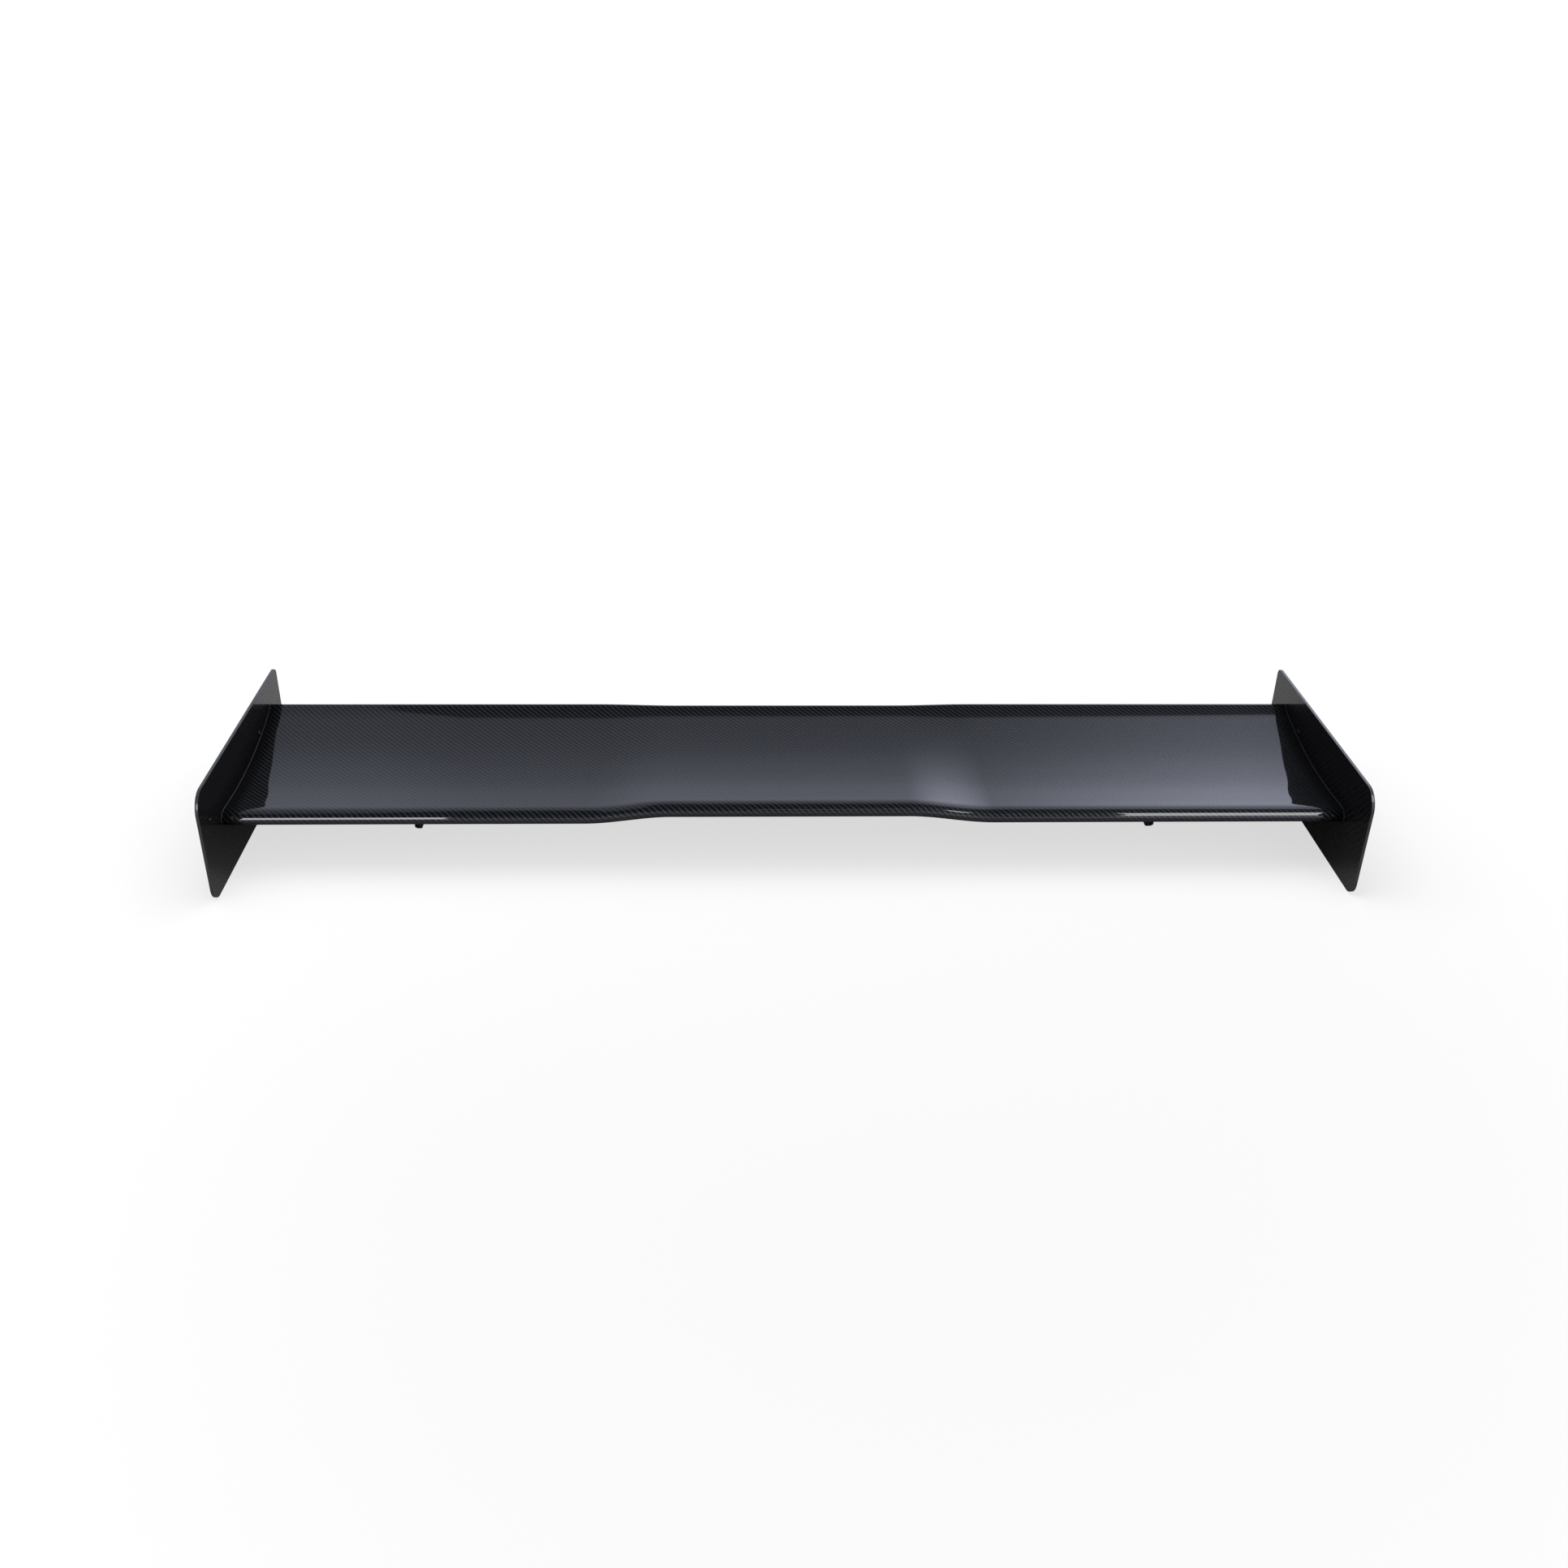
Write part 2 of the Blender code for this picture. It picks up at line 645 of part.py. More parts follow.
def make_feet():
    """The feet, each on a bush and a pivot bolt, and held at its angle by an adjuster bolt."""
    stack = EAR_GAP / 2 + EAR_THICKNESS + GAP
    for side, sign in side_names():
        x = sign * FOOT_X
        outwards = Vector((sign, 0, 0))
        bush = ring(
            "pivot_bush_" + side,
            BUSH["outer"],
            BOLT["diameter"] + 2 * RUNNING_CLEARANCE,
            BUSH["length"],
            place(x - sign * BUSH["length"] / 2, PIVOT),
            outwards,
            "bronze",
        )
        moving = [make_foot(side, x), bush]
        for kind, point in (("pivot", PIVOT), ("adjuster", ADJUSTER)):
            bolt = socket_screw(
                f"{kind}_bolt_{side}",
                CAP_HEAD,
                BOLT,
                2 * stack + BOLT["proud"],
                place(x + sign * stack, point),
                outwards,
                ROUND,
            )
            nut_x = x - sign * (stack + GAP / 2 + BOLT_NUT["thickness"] / 2)
            held = nut(f"{kind}_nut_{side}", BOLT_NUT, BOLT["diameter"] + 2 * GAP, nut_x, point)
            if kind == "adjuster":
                moving += [bolt, held]
        pivot = bpy.data.objects.new("foot_pivot_" + side, None)
        pivot.location = place(x, PIVOT)
        PARTS.objects.link(pivot)
        bpy.context.view_layer.update()
        for piece in moving:
            piece.parent = pivot
            piece.matrix_parent_inverse = pivot.matrix_world.inverted()


clear_scene()
PARTS = new_collection("racing_rear_wing")
CUTTERS = new_collection("cutters")
CUTTERS.hide_render = True
lower_skin = make_skins()
make_tubes()
make_ribs()
make_end_ribs()
make_blocks(lower_skin)
make_endplates()
make_plate_screws()
make_trim_screws()
make_brackets()
make_feet()
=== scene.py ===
"""A racing rear wing: a carbon blade with a twisted middle, two endplates and two swivelling feet.

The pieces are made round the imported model, which stands as the fixed frame. Metres, +Z up,
+Y rearward, +X to the right of someone who stands ahead of the leading edge and looks rearward.
Outlines are in millimetres behind and above the leading-edge datum, as on a wing's drawing.
"""

import math

import bmesh
import bpy
import numpy as np
from mathutils import Matrix, Vector


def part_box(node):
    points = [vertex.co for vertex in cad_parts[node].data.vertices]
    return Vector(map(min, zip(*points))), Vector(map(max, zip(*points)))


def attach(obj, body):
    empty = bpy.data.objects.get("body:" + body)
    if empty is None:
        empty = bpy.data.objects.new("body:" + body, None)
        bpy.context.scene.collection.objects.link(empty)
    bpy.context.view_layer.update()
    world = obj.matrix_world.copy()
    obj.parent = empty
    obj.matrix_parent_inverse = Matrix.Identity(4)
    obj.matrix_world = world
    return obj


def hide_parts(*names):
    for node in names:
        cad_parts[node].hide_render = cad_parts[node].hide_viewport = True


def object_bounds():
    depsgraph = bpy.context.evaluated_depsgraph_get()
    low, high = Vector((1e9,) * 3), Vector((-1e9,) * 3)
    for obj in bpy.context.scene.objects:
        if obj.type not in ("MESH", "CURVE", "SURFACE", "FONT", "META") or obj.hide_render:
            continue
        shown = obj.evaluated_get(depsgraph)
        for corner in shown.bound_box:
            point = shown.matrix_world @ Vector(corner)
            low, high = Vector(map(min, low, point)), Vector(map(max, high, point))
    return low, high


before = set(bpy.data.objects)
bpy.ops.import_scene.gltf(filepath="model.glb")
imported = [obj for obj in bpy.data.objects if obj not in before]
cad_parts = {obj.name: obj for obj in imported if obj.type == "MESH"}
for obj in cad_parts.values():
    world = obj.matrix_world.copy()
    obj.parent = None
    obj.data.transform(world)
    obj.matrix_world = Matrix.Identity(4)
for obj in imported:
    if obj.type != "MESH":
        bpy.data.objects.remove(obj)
cad_box = [list(corner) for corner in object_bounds()]
MM = 0.001


# ---- The camera
# A full-frame body on a tripod, ahead of the leading edge and about a metre above the blade. Its
# lens is a little longer than wide-angle, and it looks down along the chord.

datum_behind_plate_front = 71
datum_above_plate_foot = 88
plate_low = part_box("endplate_left")[0]
datum = Vector((0, plate_low.y + datum_behind_plate_front * MM, datum_above_plate_foot * MM))

camera = bpy.data.objects.new("camera", bpy.data.cameras.new("camera"))
bpy.context.scene.collection.objects.link(camera)
bpy.context.scene.camera = camera
camera.data.sensor_width = 36.0
camera.data.lens = 34.78
camera.data.clip_end = 200
lens_from_datum = Vector((-0.0864, -1.7390, 1.0228))
pitch, yaw, roll = math.radians(29.24), math.radians(2.52), math.radians(-1.10)
looking = Vector((math.sin(yaw) * math.cos(pitch), math.cos(yaw) * math.cos(pitch), -math.sin(pitch)))
level = Vector((math.cos(yaw), -math.sin(yaw), 0))
below = looking.cross(level)
rightwards = math.cos(roll) * level + math.sin(roll) * below
downwards = math.cos(roll) * below - math.sin(roll) * level
turn = Matrix((rightwards, -downwards, -looking)).transposed().to_4x4()
camera.matrix_world = Matrix.Translation(datum + lens_from_datum) @ turn


# ---- The floor
# Matt white studio paper, wide enough to run out of the picture on every side. The gloss of the
# wing sees it as the pale grey that unlit paper is, and the camera sees it fully lit.


def srgb(code):
    """An sRGB hex colour as the linear values that a shader takes."""
    parts = [int(code[i : i + 2], 16) / 255 for i in (1, 3, 5)]
    return (*[c / 12.92 if c <= 0.04045 else ((c + 0.055) / 1.055) ** 2.4 for c in parts], 1.0)


def add(tree, kind, inputs, **settings):
    """A node with its settings. An input that is given a socket is linked, and another is set."""
    node = tree.nodes.new("ShaderNode" + kind)
    for name, value in settings.items():
        setattr(node, name, value)
    for key, value in inputs.items():
        if isinstance(value, bpy.types.NodeSocket):
            tree.links.new(value, node.inputs[key])
        else:
            node.inputs[key].default_value = value
    return node


floor_mesh = bpy.data.meshes.new("floor")
bm = bmesh.new()
bmesh.ops.create_grid(bm, x_segments=1, y_segments=1, size=70)
bm.to_mesh(floor_mesh)
bm.free()
floor = bpy.data.objects.new("floor", floor_mesh)
bpy.context.scene.collection.objects.link(floor)
floor.location.z = cad_box[0][2] - 0.2 * MM
paper = bpy.data.materials.new("white_studio_paper")
paper.use_nodes = True
tree = paper.node_tree
tree.nodes.remove(tree.nodes["Principled BSDF"])
dim_paper = add(tree, "BsdfDiffuse", {"Color": srgb("#888889"), "Roughness": 1.0})
lit_paper = add(tree, "BsdfDiffuse", {"Color": srgb("#888888"), "Roughness": 1.0})
on_floor = add(tree, "TexCoord", {})
away = add(tree, "VectorMath", {0: on_floor.outputs["Object"]}, operation="LENGTH")
evened = add(
    tree,
    "MapRange",
    {"Value": away.outputs["Value"], "From Min": 0.6, "From Max": 2.6, "To Min": 0.64, "To Max": 0.84},
    interpolation_type="SMOOTHSTEP",
)
bright_paper = add(tree, "Emission", {"Color": srgb("#ffffff"), "Strength": evened.outputs[0]})
exposed_paper = add(tree, "AddShader", {0: lit_paper.outputs[0], 1: bright_paper.outputs[0]})
path = add(tree, "LightPath", {})
mixed = add(
    tree,
    "MixShader",
    {0: path.outputs["Is Camera Ray"], 1: dim_paper.outputs[0], 2: exposed_paper.outputs[0]},
)
tree.links.new(mixed.outputs[0], tree.nodes["Material Output"].inputs["Surface"])
floor_mesh.materials.append(paper)


# ---- The light
# A white studio with a dark ceiling: bright low down all round, brighter behind the right-hand
# side, with a large soft lamp over the floor and three strip lights that draw a line on the nose.

world = bpy.data.worlds.new("studio")
bpy.context.scene.world = world
world.use_nodes = True
sky = world.node_tree
seen = add(sky, "LightPath", {})
direction = add(sky, "TexCoord", {})
axes = add(sky, "SeparateXYZ", {0: direction.outputs["Generated"]})
# The ceiling's edge is a little higher on the left. Only mirror finishes see it come lower ahead of
# the wing; matt ones are lit by the whole of it, which keeps the paper white.
rise = 0.12
drop = 0.38
left_rise = add(sky, "MapRange", {"Value": axes.outputs["X"], 1: -0.22, 2: -0.17, 3: rise, 4: 0.0})
front_drop = add(sky, "MapRange", {"Value": axes.outputs["Y"], 1: -0.12, 2: 0.02, 3: drop, 4: 0.0})
mirrored = add(
    sky, "Math", {0: front_drop.outputs[0], 1: seen.outputs["Is Glossy Ray"]}, operation="MULTIPLY"
)
moved = add(sky, "Math", {0: mirrored.outputs[0], 1: left_rise.outputs[0]}, operation="SUBTRACT")
under_ceiling = add(sky, "Math", {0: axes.outputs["Z"], 1: moved.outputs[0]})
height = add(sky, "ValToRGB", {"Fac": under_ceiling.outputs[0]})
brightness_by_height = (
    (0.0, 0.85), (0.42, 0.62), (0.50, 0.56), (0.62, 0.47),
    (0.80, 0.42), (0.83, 0.38), (0.86, 0.05), (1.0, 0.03),
)
elements = height.color_ramp.elements
while len(elements) < len(brightness_by_height):
    elements.new(0.5)
for element, (position, value) in zip(elements, brightness_by_height):
    element.position = position
    element.color = (value, value, value, 1)
side = add(
    sky,
    "MapRange",
    {"Value": axes.outputs["X"], "From Min": 0.1, "From Max": 0.34, "To Min": 1.0, "To Max": 2.65},
    interpolation_type="SMOOTHSTEP",
)
glow = add(sky, "VectorMath", {0: height.outputs["Color"], "Scale": side.outputs[0]}, operation="SCALE")
cast = add(
    sky,
    "Mix",
    {0: seen.outputs["Is Glossy Ray"], 6: (1, 1, 1, 1), 7: (0.90, 0.95, 1.16, 1)},
    data_type="RGBA",
)
tint = add(sky, "VectorMath", {0: glow.outputs[0], 1: cast.outputs[2]}, operation="MULTIPLY")
# This stands in for polarisation, which isn't simulated: light mirrored by an upright plate and
# then by the level blade comes out far dimmer than light mirrored once.
mirrored_twice = 0.04
twice = add(sky, "Math", {0: seen.outputs["Glossy Depth"], 1: 1.5}, operation="GREATER_THAN")
polarised = add(sky, "MapRange", {"Value": twice.outputs[0], 3: 1.0, 4: mirrored_twice})
studio_light = add(sky, "Background", {"Color": tint.outputs[0], "Strength": polarised.outputs[0]})
white_backdrop = add(sky, "Background", {"Color": (1, 1, 1, 1), "Strength": 1.2})
chosen = add(
    sky,
    "MixShader",
    {0: seen.outputs["Is Camera Ray"], 1: studio_light.outputs[0], 2: white_backdrop.outputs[0]},
)
sky.links.new(chosen.outputs[0], sky.nodes["World Output"].inputs["Surface"])
bpy.context.scene.view_settings.view_transform = "Standard"


def lamp(name, at, aim, size, radiance, colour=(1, 1, 1)):
    """A rectangular lamp that faces a point. Radiance is what its face shows in a reflection."""
    data = bpy.data.lights.new(name, "AREA")
    data.shape = "RECTANGLE"
    data.size, data.size_y = size
    data.color = colour
    data.energy = radiance * math.pi * size[0] * size[1]
    obj = bpy.data.objects.new(name, data)
    bpy.context.scene.collection.objects.link(obj)
    obj.location = at
    obj.rotation_euler = (Vector(aim) - Vector(at)).to_track_quat("-Z", "Y").to_euler()
    obj.visible_camera = False
    return obj


overhead = lamp("overhead_softbox", (-0.35, 0.6, 3.2), (0, 0, 0), (5.0, 3.0), 4.3)
overhead.visible_glossy = False
nose = datum
reach = 2.5
for name, left_end, right_end, degrees, width, radiance, colour in (
    ("strip_left", -1.66, -0.92, 150, 1.30, 9.0, (1, 1, 1)),
    ("strip_middle", 0.0, 0.5, 128, 0.25, 1.2, (0.8, 0.9, 1)),
    ("strip_right", 1.12, 2.1, 125, 1.70, 8.0, (1, 1, 1)),
):
    behind = nose.y + reach * math.cos(math.radians(degrees))
    high = nose.z + reach * math.sin(math.radians(degrees))
    middle = (left_end + right_end) / 2
    size = (right_end - left_end, width)
    strip = lamp(name, (middle, behind, high), (middle, nose.y, nose.z), size, radiance, colour)
    strip.visible_diffuse = False


# ---- The blade's skins
# Two skins of twill carbon cloth, each laid up in a mould, cured and clear-coated, then bonded
# together under the nose and along the trailing edge. The middle of the span sits at a lower
# incidence, and a ramp on each side leads to it.

section = np.array([
    (270.0, 32.4), (255.0, 25.4), (236.0, 19.8), (205.0, 12.8), (165.0, 6.0), (120.0, 2.0),
    (75.0, 0.8), (42.0, 1.9), (24.0, 2.9), (13.0, 3.0), (4.5, -0.2), (0.3, -6.8),
    (2.4, -12.5), (9.0, -16.3), (24.0, -21.0), (55.0, -26.2), (92.0, -28.0), (130.0, -25.2),
    (170.0, -17.2), (210.0, -4.0), (245.0, 14.0), (270.0, 29.0),
])
parting_point = 13
skin_thickness = 1.4
half_span = 750
seam = 0.3
twist_degrees = 2.85
twist_centre = (215, 8)
ramp_start, ramp_end = 160, 275

strides = np.linalg.norm(np.diff(section, axis=0), axis=1)
knots = np.concatenate([[0], np.cumsum(strides)])
system = np.eye(len(section))
rises = np.zeros((len(section), 2))
for i in range(1, len(section) - 1):
    system[i, i - 1 : i + 2] = strides[i - 1], 2 * (strides[i - 1] + strides[i]), strides[i]
    slope_before = (section[i] - section[i - 1]) / strides[i - 1]
    slope_after = (section[i + 1] - section[i]) / strides[i]
    rises[i] = 6 * slope_after - 6 * slope_before
bends = np.linalg.solve(system, rises)


def contour(lengths):
    """Points of the section's smooth outside, at these lengths round it from the trailing edge."""
    i = np.clip(np.searchsorted(knots, lengths, side="right") - 1, 0, len(knots) - 2)
    stride = strides[i][:, None]
    after = (lengths - knots[i])[:, None]
    before = stride - after
    curved = (bends[i] * before**3 + bends[i + 1] * after**3) / (6 * stride)
    chord_before = (section[i] / stride - bends[i] * stride / 6) * before
    chord_after = (section[i + 1] / stride - bends[i + 1] * stride / 6) * after
    return curved + chord_before + chord_after


def outwards(lengths):
    """The section's outward directions at these lengths round it."""
    small = 0.05
    along = contour(np.minimum(lengths + small, knots[-1])) - contour(np.maximum(lengths - small, 0))
    along /= np.linalg.norm(along, axis=1)[:, None]
    return np.column_stack([along[:, 1], -along[:, 0]])


def twisted(point, x):
    """A point of the section, as it is at this place along the span."""
    t = min(max((abs(x) - ramp_start) / (ramp_end - ramp_start), 0), 1)
    angle = math.radians(twist_degrees) * (1 - t * t * (3 - 2 * t))
    y, z = point[0] - twist_centre[0], point[1] - twist_centre[1]
    return (
        twist_centre[0] + y * math.cos(angle) + z * math.sin(angle),
        twist_centre[1] - y * math.sin(angle) + z * math.cos(angle),
    )


def place(x, point):
    """A point of the drawing in the wing's own frame."""
    return datum + Vector((x, point[0], point[1])) * MM


def loft(name, rows, across, along, closed=False):
    """A sheet through rows of points. Its cloth coordinates are metres across and along it. If it is
    closed, each row ends where it began, and the two ends are filled."""
    bm = bmesh.new()
    cloth = bm.loops.layers.uv.new("cloth")
    grid = [[bm.verts.new(point) for point in row] for row in rows]
    for i in range(len(grid) - 1):
        for j in range(len(grid[i]) - 1):
            corners = ((i, j), (i, j + 1), (i + 1, j + 1), (i + 1, j))
            face = bm.faces.new([grid[a][b] for a, b in corners])
            for loop, (a, b) in zip(face.loops, corners):
                loop[cloth].uv = (across[a], along[b])
    if closed:
        bmesh.ops.remove_doubles(bm, verts=bm.verts, dist=1e-7)
        bmesh.ops.holes_fill(bm, edges=bm.edges, sides=0)
        bmesh.ops.recalc_face_normals(bm, faces=bm.faces)
    mesh = bpy.data.meshes.new(name)
    bm.to_mesh(mesh)
    bm.free()
    mesh.shade_smooth()
    return mesh


def show(name, mesh, *materials):
    """The mesh as a piece of the scene, in its own materials."""
    obj = bpy.data.objects.new(name, mesh)
    bpy.context.scene.collection.objects.link(obj)
    if not mesh.materials:
        for material in materials:
            mesh.materials.append(material)
    return obj


def new_material(name, colour, metallic, roughness):
    """A material, its nodes and its shader, which starts from the real finish's usual values."""
    material = bpy.data.materials.new(name)
    material.use_nodes = True
    shader = material.node_tree.nodes["Principled BSDF"]
    shader.inputs["Base Color"].default_value = srgb(colour)
    shader.inputs["Metallic"].default_value = metallic
    shader.inputs["Roughness"].default_value = roughness
    return material, material.node_tree, shader


# 2/2 twill: each tow goes over two and under two of the others, one step on from its neighbour,
# so that its floats line up in diagonal ribs. The group works on coordinates counted in tows.
twill = bpy.data.node_groups.new("twill_cloth", "ShaderNodeTree")
for name in ("Across", "Along"):
    twill.interface.new_socket(name, in_out="INPUT", socket_type="NodeSocketFloat")
for name in ("Lengthwise", "Height", "Streaks", "Tow"):
    twill.interface.new_socket(name, in_out="OUTPUT", socket_type="NodeSocketFloat")
given = twill.nodes.new("NodeGroupInput")
across, along = given.outputs["Across"], given.outputs["Along"]
column = add(twill, "Math", {0: across}, operation="FLOOR").outputs[0]
row = add(twill, "Math", {0: along}, operation="FLOOR").outputs[0]
in_column = add(twill, "Math", {0: across}, operation="FRACT").outputs[0]
in_row = add(twill, "Math", {0: along}, operation="FRACT").outputs[0]
step = add(twill, "Math", {0: column, 1: row}, operation="SUBTRACT").outputs[0]
step = add(twill, "Math", {0: step, 1: 4.0}, operation="FLOORED_MODULO").outputs[0]
lengthwise = add(twill, "Math", {0: step, 1: 1.5}, operation="LESS_THAN").outputs[0]
# How far along its float a point is, from 0 to 2 tows, for each of the two directions
over_row = add(twill, "Math", {0: in_row, 1: step}, operation="SUBTRACT").outputs[0]
over_row = add(twill, "Math", {0: over_row, 1: 1.0}, operation="ADD").outputs[0]
over_column = add(twill, "Math", {0: in_column, 1: step}, operation="ADD").outputs[0]
over_column = add(twill, "Math", {0: over_column, 1: 2.0}, operation="SUBTRACT").outputs[0]
floated = add(twill, "Mix", {0: lengthwise, 2: over_column, 3: over_row}).outputs[0]
side_to_side = add(twill, "Mix", {0: lengthwise, 2: in_row, 3: in_column}).outputs[0]
tow = add(twill, "Mix", {0: lengthwise, 2: row, 3: column}).outputs[0]
arch = add(twill, "Math", {0: floated, 1: math.pi / 2}, operation="MULTIPLY").outputs[0]
arch = add(twill, "Math", {0: arch}, operation="SINE").outputs[0]
crown = add(twill, "Math", {0: side_to_side, 1: math.pi}, operation="MULTIPLY").outputs[0]
crown = add(twill, "Math", {0: crown}, operation="SINE").outputs[0]
crown = add(twill, "Math", {0: crown, 1: 0.6}, operation="POWER").outputs[0]
lift = add(twill, "Math", {0: arch, 1: 0.6, 2: 0.4}, operation="MULTIPLY_ADD").outputs[0]
crowned = add(twill, "Math", {0: lift, 1: crown}, operation="MULTIPLY").outputs[0]
apart = add(twill, "Math", {0: lengthwise, 1: 517.0}, operation="MULTIPLY").outputs[0]
tow = add(twill, "Math", {0: tow, 1: apart}, operation="ADD").outputs[0]
chance = add(twill, "TexWhiteNoise", {"W": tow}, noise_dimensions="1D").outputs["Value"]
# Filaments are 7 micrometres thick, so they are drawn as bundles of about a fifth of a millimetre
bundle = add(twill, "CombineXYZ", {0: side_to_side, 1: floated, 2: tow}).outputs[0]
bundle = add(twill, "VectorMath", {0: bundle, 1: (11.0, 0.7, 1.0)}, operation="MULTIPLY").outputs[0]
streaks = add(twill, "TexNoise", {"Vector": bundle, "Scale": 1.0, "Detail": 2.0}).outputs[0]
given_back = twill.nodes.new("NodeGroupOutput")
for name, socket in zip(("Lengthwise", "Height", "Streaks", "Tow"), (lengthwise, crowned, streaks, chance)):
    twill.links.new(socket, given_back.inputs[name])


def lay_cloth(tree, shader, tow_width, sheened_tow_colour, unsheened_tow_colour, relief, wale=1, flat=None):
    """Puts twill cloth of this tow width, in millimetres, under the shader's gloss. It follows the
    piece's cloth coordinates, or the flat ones that are given. Its colour is painted lighter on the
    tows that run one way, a painted sheen, and darker where the weave dips, a painted shade."""
    laid = flat or add(tree, "UVMap", {}, uv_map="cloth").outputs[0]
    tows = add(
        tree,
        "VectorMath",
        {0: laid, 1: (wale / (tow_width * MM), 1 / (tow_width * MM), 1)},
        operation="MULTIPLY",
    )
    counted = add(tree, "SeparateXYZ", {0: tows.outputs[0]})
    woven = tree.nodes.new("ShaderNodeGroup")
    woven.node_tree = twill
    tree.links.new(counted.outputs["X"], woven.inputs["Across"])
    tree.links.new(counted.outputs["Y"], woven.inputs["Along"])
    shade = add(
        tree,
        "Math",
        {0: woven.outputs["Tow"], 1: 0.25, 2: woven.outputs["Streaks"]},
        operation="MULTIPLY_ADD",
    )
    shade = add(tree, "MapRange", {0: shade.outputs[0], 1: 0.3, 2: 0.9, 3: 0.75, 4: 1.25})
    # Painted sheen: the tows that run one way get a lighter colour than those that cross them.
    ribs = add(
        tree,
        "Mix",
        {0: woven.outputs["Lengthwise"], 6: srgb(sheened_tow_colour), 7: srgb(unsheened_tow_colour)},
        data_type="RGBA",
    )
    # Painted shade: the colour is darkened where the weave's height is low, between tows and where they dip
    # under others.
    painted_weave_shade = add(tree, "MapRange", {0: woven.outputs["Height"], 1: 0.0, 2: 0.55, 3: 0.25, 4: 1.0})
    tow_tone_and_weave_shade = add(tree, "Math", {0: shade.outputs[0], 1: painted_weave_shade.outputs[0]}, operation="MULTIPLY")
    coloured = add(
        tree, "VectorMath", {0: ribs.outputs[2], "Scale": tow_tone_and_weave_shade.outputs[0]}, operation="SCALE"
    )
    tree.links.new(coloured.outputs[0], shader.inputs["Base Color"])
    bump = add(
        tree, "Bump", {"Height": woven.outputs["Height"], "Strength": 1.0, "Distance": relief * MM}
    )
    tree.links.new(bump.outputs[0], shader.inputs["Normal"])
    if flat:
        return
    quarter_turn = add(tree, "Math", {0: woven.outputs["Lengthwise"], 1: 0.25}, operation="MULTIPLY")
    tree.links.new(quarter_turn.outputs[0], shader.inputs["Anisotropic Rotation"])
    spanwise = add(tree, "Tangent", {}, direction_type="UV_MAP", uv_map="cloth")
    tree.links.new(spanwise.outputs[0], shader.inputs["Tangent"])
    shader.inputs["Anisotropic"].default_value = 0.6


# Clear-coated carbon: graphite tows that shine along one direction, deep in a polished lacquer
# that mirrors the room. The lacquer has the faint waves of a sprayed coat.
blade_carbon, tree, shader = new_material("clear_coated_twill_carbon", "#202123", 0.75, 0.38)
# The cloth's colour carries a painted sheen on the tows that run one way and painted shade where the weave
# dips.
lay_cloth(tree, shader, 2.0, "#303236", "#111213", 0.14)
shader.inputs["Coat Weight"].default_value = 1.0
shader.inputs["Coat Roughness"].default_value = 0.03
shader.inputs["Coat IOR"].default_value = 1.5
shader.inputs["Specular Tint"].default_value = srgb("#3c3d40")
lacquer = add(tree, "TexCoord", {})
waves = add(tree, "TexNoise", {"Vector": lacquer.outputs["Object"], "Scale": 90.0, "Detail": 1.0})
peel = add(tree, "Bump", {"Height": waves.outputs[0], "Strength": 1.0, "Distance": 0.001 * MM})
tree.links.new(peel.outputs[0], shader.inputs["Coat Normal"])

# The trimmed edge of a laminate: plies about a quarter of a millimetre thick, sanded to satin
cut_edge, tree, shader = new_material("sanded_laminate_edge", "#1b1c1e", 0.0, 0.5)
where = add(tree, "TexCoord", {})
plies = add(
    tree,
    "TexNoise",
    {"Vector": where.outputs["Object"], "Scale": 900.0, "Detail": 2.0},
)
tone = add(
    tree, "Mix", {0: plies.outputs[0], 6: srgb("#0c0c0d"), 7: srgb("#2a2b2e")}, data_type="RGBA"
)
tree.links.new(tone.outputs[2], shader.inputs["Base Color"])
grain = add(tree, "Bump", {"Height": plies.outputs[0], "Strength": 0.5, "Distance": 0.03 * MM})
tree.links.new(grain.outputs[0], shader.inputs["Normal"])
shader.inputs["Coat Weight"].default_value = 0.5
shader.inputs["Coat Roughness"].default_value = 0.15

ends = half_span - seam
stations = np.concatenate([
    np.linspace(-ends, -ramp_end, 25)[:-1],
    np.linspace(-ramp_end, -ramp_start, 33)[:-1],
    np.linspace(-ramp_start, ramp_start, 17)[:-1],
    np.linspace(ramp_start, ramp_end, 33)[:-1],
    np.linspace(ramp_end, ends, 25),
])
for name, first, last, steps in (
    ("upper_skin", knots[0], knots[parting_point], 112),
    ("lower_skin", knots[parting_point] + seam, knots[-1], 72),
):
    lengths = np.linspace(first, last, steps + 1)
    outline = contour(lengths)
    rows = [[place(x, twisted(point, x)) for point in outline] for x in stations]
    mesh = loft("moulded_" + name, rows, stations * MM, lengths * MM)
    piece = show("moulded_" + name, mesh, blade_carbon, cut_edge)
    laminate = piece.modifiers.new("laminate", "SOLIDIFY")
    laminate.thickness = skin_thickness * MM
    laminate.offset = -1
    laminate.use_even_offset = True
    laminate.material_offset_rim = 1
    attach(piece, "wing")
    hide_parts(name)


# ---- The adhesive
# The skins are glued under the nose and along the trailing edge with a toughened black epoxy. A
# small fillet of it, drawn round with a fingertip, closes the joint between blade and endplate.

epoxy, tree, shader = new_material("toughened_black_epoxy", "#070708", 0.0, 0.5)
surface = add(tree, "TexCoord", {})
ripples = add(tree, "TexNoise", {"Vector": surface.outputs["Object"], "Scale": 400.0, "Detail": 2.0})
tooled = add(tree, "Bump", {"Height": ripples.outputs[0], "Strength": 0.6, "Distance": 0.05 * MM})
tree.links.new(tooled.outputs[0], shader.inputs["Normal"])
sheen = add(tree, "MapRange", {"Value": ripples.outputs[0], 1: 0.3, 2: 0.7, 3: 0.42, 4: 0.6})
tree.links.new(sheen.outputs[0], shader.inputs["Roughness"])

